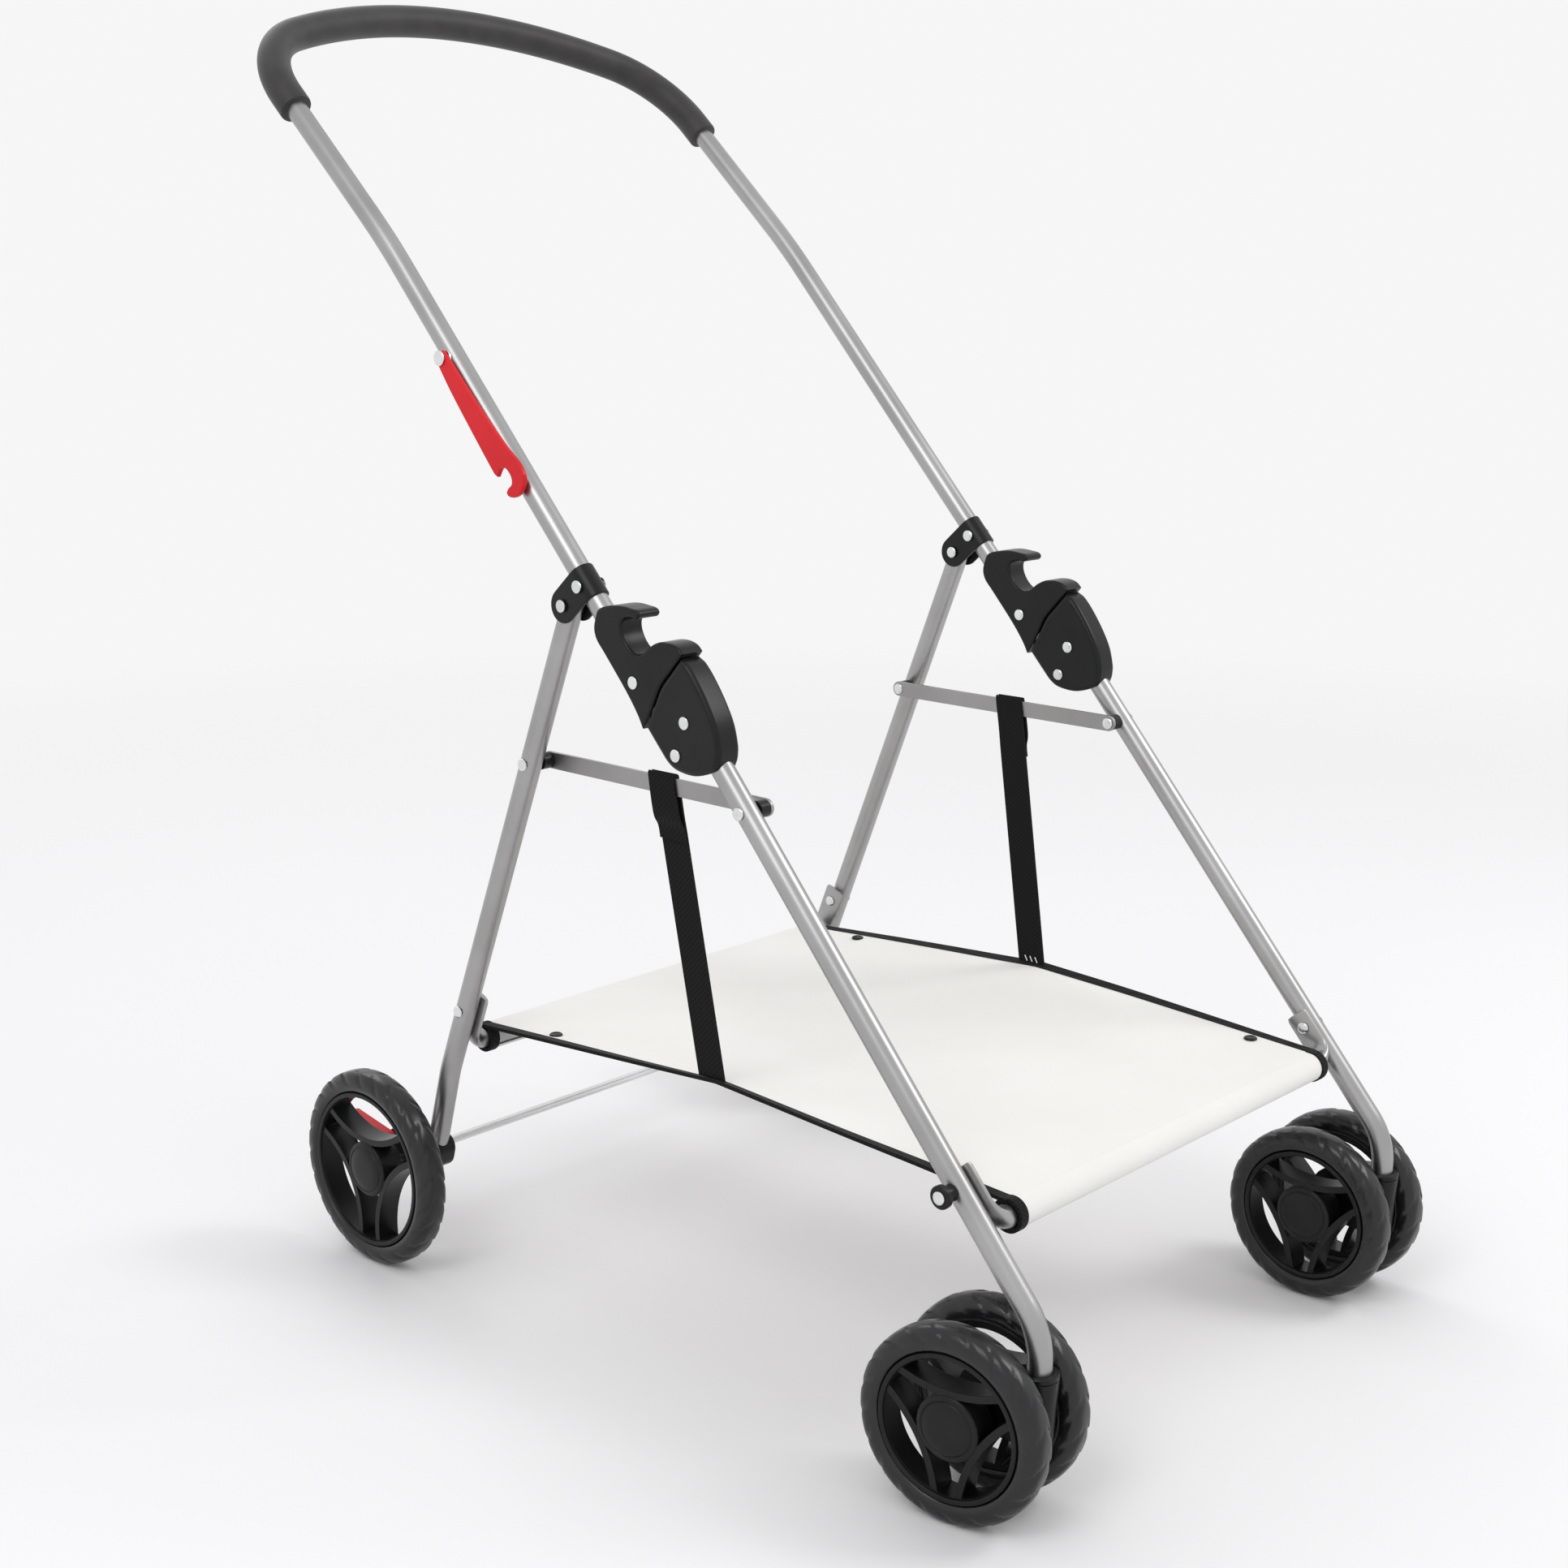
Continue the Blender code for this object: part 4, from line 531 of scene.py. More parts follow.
# %% Turning tools
def turned(profile, steps=48, closed=False):
    """Turn a profile of (x, radius) points in mm round the X axis."""
    bm = bmesh.new()
    verts = [bm.verts.new((x * MM, 0, radius * MM)) for x, radius in profile]
    pairs = list(zip(verts, verts[1:]))
    if closed:
        pairs.append((verts[-1], verts[0]))
    edges = [bm.edges.new(pair) for pair in pairs]
    bmesh.ops.spin(bm, geom=verts + edges, cent=(0, 0, 0), axis=(1, 0, 0),
                   angle=2 * math.pi, steps=steps, use_merge=True)
    bmesh.ops.remove_doubles(bm, verts=bm.verts, dist=0.001 * MM)
    bmesh.ops.recalc_face_normals(bm, faces=bm.faces)
    return bm


def head(x, outward):
    """Half the profile of a formed rivet head, low and domed, in mm."""
    r = RIVET_HEAD / MM
    h = outward * RIVET_RISE / MM
    base = x / MM
    return [(base + h, 0), (base + 0.99 * h, 0.3 * r), (base + 0.93 * h, 0.6 * r),
            (base + 0.78 * h, 0.82 * r), (base + 0.5 * h, 0.96 * r), (base + 0.2 * h, r),
            (base, r), (base, 2.5)]


def rivet(place, x0, x1):
    """A rivet along x whose heads bear at x0 and x1."""
    return moved(turned(head(x0, -1) + head(x1, 1)[::-1], 32), place)


print("turning tools ready")

# %% Rivets
flat_side = -(TUBE_RADIUS + 2 * PLAY + 4.4 * MM)
tube_side = TUBE_RADIUS + PLAY
shell_side = HOUSING_HALF + PLAY
bracket_side = 11.1 * MM
bush = [(-16.6, 5.7), (-16.3, 6), (-8.6, 6), (-8.3, 5.7), (-8.3, 2.8), (-16.6, 2.8)]
for name, side in SIDES:
    stud_side = tube_side if side > 0 else tube_side + STUD_LENGTH + PLAY
    fixed = {
        "leg_top_rivet_": (on_front_leg(11.5), -shell_side, shell_side, "front_frame", ()),
        "front_cross_rivet_": (FRONT_CROSS_RIVET, flat_side, stud_side, "front_frame", ()),
        "rear_cross_rivet_": (REAR_CROSS_RIVET, flat_side, tube_side, "rear_frame", ()),
        "bracket_rivet_": (on_handle(BRACKET_AT), -bracket_side, bracket_side, "handle", ()),
        "fold_rivet_": (FOLD_PIVOT, -shell_side, shell_side, "front_frame", ["fold_pin_" + name]),
        "rear_pivot_rivet_": (REAR_PIVOT, -bracket_side, bracket_side, "handle", ["rear_pivot_pin_" + name]),
        "slide_rivet_": (on_handle(59.4), -shell_side, shell_side, "latch_" + name, ["lever_rivet_" + name]),
        "pedal_rivet_": (PEDAL_PIVOT, -shell_side, 22 * MM, "rear_frame", ["pedal_pin_" + name]),
    }
    for title, (place, x0, x1, body, nodes) in fixed.items():
        piece(title + name, to_side(rivet(place, x0, x1), side), STEEL, body, nodes)
    pin = rivet(LINK_FRONT, -(BAR_INNER + PLAY), tube_side)
    piece("front_link_rivet_" + name, to_side(pin, side), STEEL, "front_frame",
          ["front_link_pin_" + name])
    pin = [(-16.6, 0), (-16.6, 2.5)] + head(tube_side, 1)[::-1]
    pin = moved(turned(pin, 32), LINK_REAR)
    piece("rear_link_rivet_" + name, to_side(pin, side), STEEL, "rear_frame",
          ["rear_link_pin_" + name])
    for place, body, title in ((LINK_FRONT, "front_frame", "front"), (LINK_REAR, "rear_frame", "rear")):
        ring = moved(turned(bush, 32, closed=True), place)
        piece(f"{title}_link_bush_{name}", to_side(ring, side), BLACK, body)
print("rivets and pins")

# %% Axle
axle_end = (LEG_PLANE + REAR_WHEEL_OUT) / MM + 7
rod = [(-axle_end, 0), (-axle_end, 3), (-axle_end + 0.5, 3.5),
       (axle_end - 0.5, 3.5), (axle_end, 3), (axle_end, 0)]
piece("axle_rod", moved(turned(rod, 28), REAR_AXLE), STEEL, "rear_frame", ["rear_axle"])
print("axle", round(2 * axle_end), "mm long")

# %% [markdown]
# ## Fold joints
#
# The housing takes the top of the front leg and lets the handle swing out of a slot at the
# back. The lever above it slides on the handle, and its lower edge is the seam. Both are
# moulded plates with generous round rims. Their outlines are a few points with a smooth
# curve through them, in millimetres along and forward of the handle. The rims are rounded
# before the bores are cut, because a bevel modifier would also round the cuts, and would
# shrink itself to fit the shortest edge.


# %% Outline tools
def smooth_run(points, steps=5):
    """Points on a smooth curve through an open run of flat points."""
    out = []
    for index in range(len(points) - 1):
        a = points[max(index - 1, 0)]
        b = points[index]
        c = points[index + 1]
        d = points[min(index + 2, len(points) - 1)]
        for step in range(steps):
            t = step / steps
            out.append(tuple(0.5 * (2 * q + (r - p) * t + (2 * p - 5 * q + 4 * r - s) * t ** 2
                                    + (3 * q - p - 3 * r + s) * t ** 3)
                             for p, q, r, s in zip(a, b, c, d)))
    return out


def outline(*runs, clear=0.0):
    """A closed outline of smooth runs, with no other point within a distance of their ends."""
    points = []
    for run in runs:
        points.append(run[0])
        for point in smooth_run(run)[1:]:
            nearest = min(math.dist(point, run[0]), math.dist(point, run[-1]))
            if nearest > clear:
                points.append(point)
    return points


def extruded(points, x0, x1):
    """Extrude leg-frame points across x."""
    bm = bmesh.new()
    face = bm.faces.new([bm.verts.new((x0, point.y, point.z)) for point in points])
    grown = bmesh.ops.extrude_face_region(bm, geom=[face])
    top = [item for item in grown["geom"] if isinstance(item, bmesh.types.BMVert)]
    bmesh.ops.translate(bm, verts=top, vec=(x1 - x0, 0, 0))
    bmesh.ops.recalc_face_normals(bm, faces=bm.faces)
    return bm


def rounded_plate(points, x0, x1, radius, segments=5):
    """Extrude leg-frame points across x, with the rims of both faces rounded."""
    bm = extruded(points, x0, x1)
    rims = [edge for edge in bm.edges if abs(edge.verts[0].co.x - edge.verts[1].co.x) < 0.01 * MM]
    bmesh.ops.bevel(bm, geom=rims, offset=radius, offset_type="OFFSET", segments=segments, profile=0.5,
                    affect="EDGES", clamp_overlap=False)
    return bm


print("outline tools ready")


# %% Cutting tool
def cut(made, *cutters):
    """Cut shapes out of a piece, and leave no cutter behind."""
    helpers = []
    for index, bm in enumerate(cutters):
        mesh = bpy.data.meshes.new("cutter")
        bm.to_mesh(mesh)
        bm.free()
        helper = bpy.data.objects.new("cutter", mesh)
        bpy.context.scene.collection.objects.link(helper)
        helpers.append(helper)
        boolean = made.modifiers.new("cut", "BOOLEAN")
        boolean.operation = "DIFFERENCE"
        boolean.object = helper
        made.modifiers.move(len(made.modifiers) - 1, index)
    bpy.context.view_layer.update()
    later = [modifier for modifier in made.modifiers if modifier.type != "BOOLEAN"]
    for modifier in later:
        modifier.show_viewport = False
    evaluated = made.evaluated_get(bpy.context.evaluated_depsgraph_get())
    mesh = bpy.data.meshes.new_from_object(evaluated)
    for modifier in [found for found in made.modifiers if found.type == "BOOLEAN"]:
        made.modifiers.remove(modifier)
    for modifier in later:
        modifier.show_viewport = True
    made.data = mesh
    for helper in helpers:
        bpy.data.objects.remove(helper, do_unlink=True)
    return made


print("cutting tool ready")

# %% Outlines of housing and lever
SHELL = outline(
    [(31, -11.5), (12, -11.5), (1, -11), (-8, -7.4), (-20, 4), (-27.6, 20), (-26.6, 27), (-23, 32),
     (-18, 36.2), (-6, 42.4), (10, 46.4), (28, 48.6), (40, 48.4), (45.5, 46.4)],
    [(45.5, 46.4), (44.2, 33), (42.5, 18.5), (37, 4), (31, -11.5)], clear=4.4)
LEVER = outline(
    [(31.6, -14.8), (42, -12.4), (60, -10.8), (90, -10.4), (102, -10.3), (109.5, -7), (114.5, 0),
     (116.4, 6), (112.3, 15), (106, 24), (98, 31.5), (93.6, 35), (90.6, 35.4), (89, 33.6), (89.6, 30.6),
     (94, 26.5), (96.7, 21.5), (95.6, 17), (91, 13.6), (84, 11.9), (77, 12.4), (71.6, 15), (68.9, 20.5),
     (68.2, 29), (66, 36.5), (62, 42.5), (57, 47.2), (52, 49.8), (46.6, 50.2)],
    [(46.6, 50.2), (46.1, 46.5), (44.8, 33), (43.1, 18.5), (37.6, 4), (32.4, -10), (31.6, -14.8)], clear=2.2)
print("outline points", len(SHELL), len(LEVER))

# %% Hinge housings and latch levers
for name, side in SIDES:
    shell = rounded_plate([on_handle(*point) for point in SHELL], -HOUSING_HALF, HOUSING_HALF, 3.8 * MM, 6)
    housing = piece("housing_" + name, to_side(shell, side), BLACK, "front_frame",
                    ["hinge_housing_" + name], even=True)
    slot_points = [on_handle(70, -30), on_handle(70, 14.25), on_handle(28, LEG_AHEAD),
                   on_handle(-60, LEG_AHEAD), on_handle(-60, -30)]
    slot = to_side(extruded(slot_points, -8.4 * MM, 8.4 * MM), side)
    bore = to_side(round_bar([on_front_leg(-60), on_front_leg(24)], 8.2 * MM), side)
    cut(housing, slot, bore)
    shape = rounded_plate([on_handle(*point) for point in LEVER], -HOUSING_HALF, HOUSING_HALF, 2 * MM)
    lever = piece("lever_" + name, to_side(shape, side), BLACK, "latch_" + name,
                  ["latch_lever_" + name], even=True)
    bore = to_side(round_bar([on_handle(-20), on_handle(BRACKET_AT)], 8.25 * MM), side)
    cut(lever, bore)
print("housings and levers")

# %% [markdown]
# ## Brackets that carry the rear legs
#
# Each bracket is a flat strip bent round the front of the handle tube, with two round ears
# that hold the top of the rear leg. The strip is drawn as a skin through the middle of its
# wall, and solidify gives it its thickness, which keeps the wall even round the bend.


# %% Brackets
def bracket_band(reach, middle, wall, half):
    """A strap round the front of the tube, with round ends on the rear leg's pivot, in mm."""
    bm = bmesh.new()
    sections = [(middle, -reach)]
    for step in range(25):
        angle = math.pi * step / 24
        sections.append((middle * math.cos(angle), middle * math.sin(angle)))
    sections.append((-middle, -reach))
    rows = [[bm.verts.new(on_handle(BRACKET_AT + along, forward, x)) for along in (-half, half)]
            for x, forward in sections]
    for first, second in zip(rows, rows[1:]):
        bm.faces.new((first[0], first[1], second[1], second[0]))
    for row, x in ((rows[0], middle), (rows[-1], -middle)):
        arc = []
        for step in range(1, 16):
            angle = math.pi * step / 16
            spot = on_handle(BRACKET_AT - half * math.cos(angle), -reach - half * math.sin(angle), x)
            arc.append(bm.verts.new(spot))
        bm.faces.new([row[0]] + arc + [row[1]])
    bmesh.ops.recalc_face_normals(bm, faces=bm.faces)
    bmesh.ops.solidify(bm, geom=bm.faces[:], thickness=wall * MM)
    return bm


for name, side in SIDES:
    band = to_side(bracket_band(reach=22, middle=9.6, wall=2.4, half=12.2), side)
    piece("bracket_" + name, band, BLACK, "handle", ["strap_bracket_" + name],
          bevel=0.7 * MM, segments=2)
print("brackets")

# %% [markdown]
# ## Hook, stud and link bars
#
# When the frame is folded, the red hook swings down and catches the bobbin-shaped stud on
# the front leg. The hook is a moulded plate like the levers, and the stud is turned. Each
# link bar is a flat bar with round ends: the convex outline round two circles, extruded.


# %% Transport hook
def hook_points():
    """The outline of the hook, which lies beside the handle below its pivot."""
    flat = outline(
        [(-8.4, -98.2), (-9.6, -95), (-8.8, -60), (-7.4, -24), (-5, 0), (-3.6, 3.6), (0, 5.4), (3.6, 3.8),
         (5.2, 0), (6.4, -24), (8.6, -56), (12, -86), (15, -101), (15.4, -108), (14, -114.5), (9.6, -119),
         (3, -121), (-3, -120), (-7.6, -116.2), (-8.2, -112.6), (-5, -111), (0, -111), (2.6, -108),
         (3.2, -103.5), (2.2, -99), (-1.6, -96.4), (-8.4, -98.2)], clear=1.2)
    turn = Matrix.Rotation(-(math.pi / 2 - HANDLE_ANGLE) + math.radians(1), 3, "X")
    return [HOOK_PIVOT + turn @ Vector((0, -forward, up)) * MM for forward, up in flat]


hook_face = tube_side + 1.7 * MM
hook = to_side(rounded_plate(hook_points(), hook_face, hook_face + 4.2 * MM, 1.2 * MM, 4), -1)
piece("hook_plate", hook, RED, "hook", ["transport_hook"], even=True)
top = hook_face / MM + 4.8
pin = [(5.3, 0), (5.3, 2.5), (8.3, 2.5), (8.3, 5.5), (9.7, 5.5), (9.7, 2.5), (top, 2.5), (top, 5.5),
       (top + 0.6, 5.4), (top + 1.3, 4.4), (top + 1.6, 2.6), (top + 1.2, 1.4), (top + 1.1, 0)]
piece("hook_pivot_rivet", to_side(moved(turned(pin, 36), HOOK_PIVOT), -1), STEEL, "handle",
      ["hook_rivet"])
print("hook")

# %% Stud
start = tube_side / MM
end = start + STUD_LENGTH / MM
bobbin = [(start, 5.6), (start + 1.5, 4.7), (end - 6, 4.6), (end - 4.4, 7), (end - 3.8, 7.7),
          (end - 0.6, 7.7), (end, 7.1), (end, 2.8), (start, 2.8)]
stud = to_side(moved(turned(bobbin, 40, closed=True), FRONT_CROSS_RIVET), -1)
piece("stud", stud, BLACK, "front_frame", ["latch_stud"])
print("stud")


# %% Outline round circles
def cross(first, second, third):
    """Twice the signed area of a flat triangle."""
    return (second[0] - first[0]) * (third[1] - first[1]) - (second[1] - first[1]) * (third[0] - first[0])


def around(circles, steps=64):
    """The convex outline round circles of (centre, radius), as leg-frame points."""
    points = []
    for centre, radius in circles:
        for step in range(steps):
            angle = math.tau * (step + 0.5) / steps
            points.append((centre.y + radius * math.cos(angle), centre.z + radius * math.sin(angle)))
    points.sort()
    chain = []
    for run in (points, points[::-1]):
        start = len(chain)
        for point in run:
            while len(chain) >= start + 2 and cross(chain[-2], chain[-1], point) <= 0:
                chain.pop()
            chain.append(point)
        chain.pop()
    return [Vector((0, y, z)) for y, z in chain]


print("circle outline tool ready")

# %% Link bars
for name, side in SIDES:
    shape = extruded(around([(LINK_FRONT, 6.2 * MM), (LINK_REAR, 6.2 * MM)], 40), -BAR_INNER, -BAR_OUTER)
    piece("link_" + name, to_side(shape, side), BAR, "link_" + name, ["link_bar_" + name],
          bevel=0.6 * MM, segments=2)
    cap = head(-BAR_INNER, -1)[:-1] + [(-BAR_INNER / MM, 0)]
    cap = moved(turned(cap, 32), LINK_REAR)
    piece("link_head_" + name, to_side(cap, side), STEEL, "link_" + name)
print("link bars", round((LINK_FRONT - LINK_REAR).length / MM), "mm between pins")

# %% [markdown]
# ## Wheels
#
# Each wheel is a soft tyre on a moulded rim. Three ribs bow inward between the rim and the
# hub, and leave six openings. Cutting them out with Booleans would leave long thin faces,
# so their outlines are worked out from circles, filled as holes in a disc, and extruded.
# The small front wheels and the large rear ones come from the same function.

# %% Ribs and openings
HUB = 22 * MM
RIB = 5 * MM
LIP = 4.2 * MM


def circle_points(radius, start, end, steps):
    """Points on a circle round the wheel's axis."""
    angles = [start + (end - start) * step / steps for step in range(steps + 1)]
    return [(radius * math.cos(angle), radius * math.sin(angle)) for angle in angles]


def turned_points(points, angle):
    """Turn flat points round the wheel's axis."""
    cosine = math.cos(angle)
    sine = math.sin(angle)
    return [(y * cosine - z * sine, y * sine + z * cosine) for y, z in points]


def meeting(radius, centre, curve):
    """Where a circle round the axis meets a rib's edge, as an angle from the rib."""
    return math.acos((radius ** 2 + centre ** 2 - curve ** 2) / (2 * radius * centre))


def rib_points(radius_from, radius_to, centre, curve, steps):
    """Points along one edge of a rib, between two distances from the axis."""
    angles = [math.asin(radius * math.sin(meeting(radius, centre, curve)) / curve)
              for radius in (radius_from, radius_to)]
    points = []
    for step in range(steps + 1):
        angle = angles[0] + (angles[1] - angles[0]) * step / steps
        points.append((centre - curve * math.cos(angle), curve * math.sin(angle)))
    return points


def rim_openings(inner):
    """Outlines of the six openings between the ribs, the hub and the rim."""
    spread_angle = math.radians(49)
    nearest = HUB + RIB / 4
    depth = inner * math.cos(spread_angle) - nearest
    curve = ((inner * math.sin(spread_angle)) ** 2 + depth ** 2) / (2 * depth)
    centre = nearest + curve
    near = curve - RIB / 2
    half = meeting(inner, centre, near)
    upper = rib_points(inner, (centre - near) * 1.00001, centre, near, 10)[1:]
    lens = circle_points(inner, -half, half, 20) + upper + [(y, -z) for y, z in upper[::-1]][1:]
    far = curve + RIB / 2
    third = math.tau / 3
    reach = meeting(inner, centre, far)
    at_hub = meeting(HUB, centre, far)
    side_one = rib_points(HUB, inner, centre, far, 8)[1:-1]
    side_two = turned_points([(y, -z) for y, z in side_one], third)
    gap = circle_points(inner, reach, third - reach, 8) + side_two[::-1]
    gap += circle_points(HUB, third - at_hub, at_hub, 6) + side_one
    turns = [math.pi / 2 + spoke * third for spoke in range(3)]
    return [turned_points(shape, turn) for turn in turns for shape in (lens, gap)]


print("rib tools ready")


# %% Rim
def rim_plate(radius, half_width):
    """A disc with the six openings in it, extruded to the rim's width."""
    bm = bmesh.new()
    loops = [circle_points(radius, 0, math.tau, 96)[:-1]] + rim_openings(radius - LIP)
    edges = []
    for loop in loops:
        verts = [bm.verts.new((-half_width, y, z)) for y, z in loop]
        edges += [bm.edges.new(pair) for pair in zip(verts, verts[1:] + verts[:1])]
    bmesh.ops.triangle_fill(bm, use_beauty=True, use_dissolve=False, edges=edges)
    grown = bmesh.ops.extrude_face_region(bm, geom=bm.faces[:])
    top = [item for item in grown["geom"] if isinstance(item, bmesh.types.BMVert)]
    bmesh.ops.translate(bm, verts=top, vec=(2 * half_width, 0, 0))
    bmesh.ops.recalc_face_normals(bm, faces=bm.faces)
    return bm


def joined(*shapes):
    """Put several shapes into one mesh."""
    bm = bmesh.new()
    for shape in shapes:
        mesh = bpy.data.meshes.new("part")
        shape.to_mesh(mesh)
        shape.free()
        bm.from_mesh(mesh)
        bpy.data.meshes.remove(mesh)
    return bm


print("rim tool ready")

# %% [markdown]
# The tyre is a turned section. Its shoulders carry slanted cuts that start sharp and fade
# out, as a mould leaves them. A bump would not show at the edge of the tyre, so the cuts
# are pressed into the mesh: each vertex sinks by its place along the nearest cut.

# %% Tyre
TYRE_DEPTH = 15.5 * MM
CUT_DEPTH = 1.3 * MM
CUT_SPACING = 20.1 * MM


def tyre_profile(radius):
    """A rounded tyre section round its seat, in mm."""
    seat = (radius - TYRE_DEPTH) / MM
    side = [(-9.2, seat), (-10.6, seat + 1.2), (-11.5, seat + 4), (-11.5, seat + 7), (-10.8, seat + 10.2),
            (-9, seat + 12.9), (-6.3, seat + 14.8), (-3.2, seat + 15.4), (0, radius / MM)]
    run = smooth_run(side, 3) + [side[-1]]
    return run + [(-x, size) for x, size in run[-2::-1]]


def press_tread(bm, radius, cuts):
    """Press slanted, feathered cuts into both shoulders of a tyre."""
    bm.normal_update()
    moves = []
    for vertex in bm.verts:
        size = math.hypot(vertex.co.y, vertex.co.z)
        rise = (size - radius) / TYRE_DEPTH + 1
        up_side = min(max((rise - 0.35) / 0.55, 0), 1)
        over_top = 1 - min(abs(vertex.co.x) / (9.6 * MM), 1)
        way = 0.5 * up_side + 0.5 * over_top
        turn = math.atan2(vertex.co.z, vertex.co.y) / math.tau * cuts + 0.9 * way
        depth = max(1 - 2.6 * (turn % 1), 0) * math.sin(math.pi * min(way / 0.92, 1)) ** 0.6
        moves.append((vertex, vertex.normal * depth * CUT_DEPTH))
    for vertex, move in moves:
        vertex.co -= move


print("tyre tools ready")


# %% Rear wheels
def wheel(name, radius, place, body, side, turn):
    """A tyre and a rim whose hub cap faces the given side."""
    spot = Matrix.Translation(place) @ turn
    cuts = round(math.tau * radius / CUT_SPACING)
    tyre = turned(tyre_profile(radius), cuts * 11, closed=True)
    press_tread(tyre, radius, cuts)
    bmesh.ops.transform(tyre, matrix=spot, verts=tyre.verts)
    piece("tread_" + name, tyre, TYRE, body, ["tyre_" + name], angle=50)
    seat = radius - TYRE_DEPTH
    rim = rim_plate(seat - 0.2 * MM, 9 * MM)
    flange = seat / MM
    lip = [(9, flange - LIP / MM), (10.4, flange - 3.8), (10.9, flange - 2.4), (10.6, flange - 0.6),
           (9, flange - 0.2)]
    hub = [(8, 0), (8, 21.8), (9.3, 21.6), (10.1, 20.6), (10.6, 18.6), (10.1, 18.1), (10.1, 17.5), (10.8, 17),
           (11.5, 14.6), (11.9, 11), (12, 6), (12, 0)]
    back = [(-11, 0), (-11, 8.2), (-10.4, 9), (-8, 9), (-8, 0)]
    shape = joined(rim, turned(lip, 96), turned(hub, 48), turned(back, 32))
    shape = to_side(shape, side, 0)
    bmesh.ops.transform(shape, matrix=spot, verts=shape.verts)
    piece("wheel_" + name, shape, BLACK, body, ["rim_" + name], bevel=0.7 * MM, segments=2)


for name, side in SIDES:
    place = Vector((side * (LEG_PLANE + REAR_WHEEL_OUT), REAR_AXLE.y, REAR_AXLE.z))
    wheel("rear_" + name, REAR_WHEEL_RADIUS, place, "rear_wheel_" + name, side, Matrix.Identity(4))
print("rear wheels")

# %% [markdown]
# ## Casters
#
# A collar on the foot of each front leg holds the kingpin of a fork, and two wheels share
# one axle that trails behind it. The fork is a turned column, an arm and a boss, left as
# overlapping shells in one mesh, since their seams lie inside. The caster on one side
# stands a little askew, as a swivelling wheel does once it has been pushed.


# %% Casters
def upright(bm):
    """Turn a shape whose axis is X so that the axis is +Z."""
    bmesh.ops.rotate(bm, verts=bm.verts, cent=(0, 0, 0), matrix=Matrix.Rotation(-math.pi / 2, 3, "Y"))
    return bm


for name, side in SIDES:
    body = "caster_" + name
    turn = Matrix.Rotation(CASTER_TURN if side < 0 else 0, 4, "Z")
    kingpin = Vector((side * LEG_PLANE, KINGPIN_BEND.y, 0))
    spot = Matrix.Translation(kingpin) @ turn
    cup = [(52, 0), (52, 3.4), (52.6, 4), (80, 4), (80, 10), (98.5, 10), (98.5, 12), (99, 12.4),
           (101.4, 12.4), (102, 11.9), (102, 8.4), (83.5, 8.4), (83.5, 0)]
    cup = moved(upright(turned(cup, 40)), kingpin)
    piece("collar_" + name, cup, BLACK, "front_frame", ["caster_collar_" + name])
    column = [(51, 0), (51, 8), (52.4, 9.3), (62, 10), (80, 11.1), (97, 12.3), (98.2, 12.2), (98.2, 10.3),
              (79.7, 10.3), (79.7, 4.3), (51.5, 4.3), (51.5, 0)]
    column = upright(turned(column, 40))
    axle = Vector((0, CASTER_AXLE.y - KINGPIN_BEND.y, CASTER_AXLE.z))
    arm = around([(axle, 9.4 * MM), (Vector((0, 2, 60)) * MM, 7 * MM), (Vector((0, 3, 80)) * MM, 7 * MM)])
    arm = extruded(arm, -7.5 * MM, 7.5 * MM)
    boss = [(-12, 3.8), (-12, 9.8), (-11.3, 10.5), (11.3, 10.5), (12, 9.8), (12, 3.8)]
    fork = joined(column, arm, moved(turned(boss, 40, closed=True), axle))
    bmesh.ops.transform(fork, matrix=spot, verts=fork.verts)
    piece("fork_" + name, fork, BLACK, body, ["caster_fork_" + name],
          bevel=0.9 * MM, segments=3)
    pin = [(-32, 0), (-32, 3), (-31.5, 3.5), (31.5, 3.5), (32, 3), (32, 0)]
    pin = moved(turned(pin, 24), axle)
    bmesh.ops.transform(pin, matrix=spot, verts=pin.verts)
    piece("caster_axle_" + name, pin, STEEL, body, ["front_axle_" + name])
    for where, outward in (("outer", side), ("inner", -side)):
        place = spot @ (axle + X_AXIS * outward * CASTER_WHEEL_OUT)
        title = f"{name}_{where}"
        wheel("front_" + title, FRONT_WHEEL_RADIUS, place, "front_wheel_" + title, outward, turn)
print("casters")

# %% [markdown]
# ## Rear axle sockets and brake pedals
#
# A moulded socket joins the foot of each rear leg to the axle and carries a red pedal. Both
# are the outline round a few circles, one at each place that the part has to reach, so the
# webs between them come by themselves.

# %% Sockets and pedals
for name, side in SIDES:
    reach = [(SOCKET_TOP + REAR_FOOT_WAY * 10.5 * MM, 10.5 * MM),
             (SOCKET_TOP + REAR_FOOT_WAY * 16 * MM, 10.5 * MM),
             (REAR_AXLE, 11 * MM), (PEDAL_PIVOT, 6.5 * MM)]
    socket = extruded(around(reach, 48), -10.5 * MM, 10.5 * MM)
    piece("socket_" + name, to_side(socket, side), BLACK, "rear_frame",
          ["axle_socket_" + name], bevel=1.6 * MM, segments=3)
    pedal = extruded(around([(PEDAL_PIVOT, 6.5 * MM), (PEDAL_TIP, 3 * MM)], 48), 11.7 * MM, 21.7 * MM)
    piece("pedal_" + name, to_side(pedal, side), RED, "brake_" + name,
          ["brake_pedal_" + name], bevel=1.2 * MM, segments=3)
print("sockets and pedals")

# %% [markdown]
# ## Basket sheet
#
# The canvas is stretched between the cross tubes, with a hem round each. The straps lift
# its side edges in straight lines to one high point, and its middle sags. A cloth
# simulation would find much the same shape, but a surface worked out from a formula gives
# the same result each time. It is a skin through rows of points, thickened to both sides.

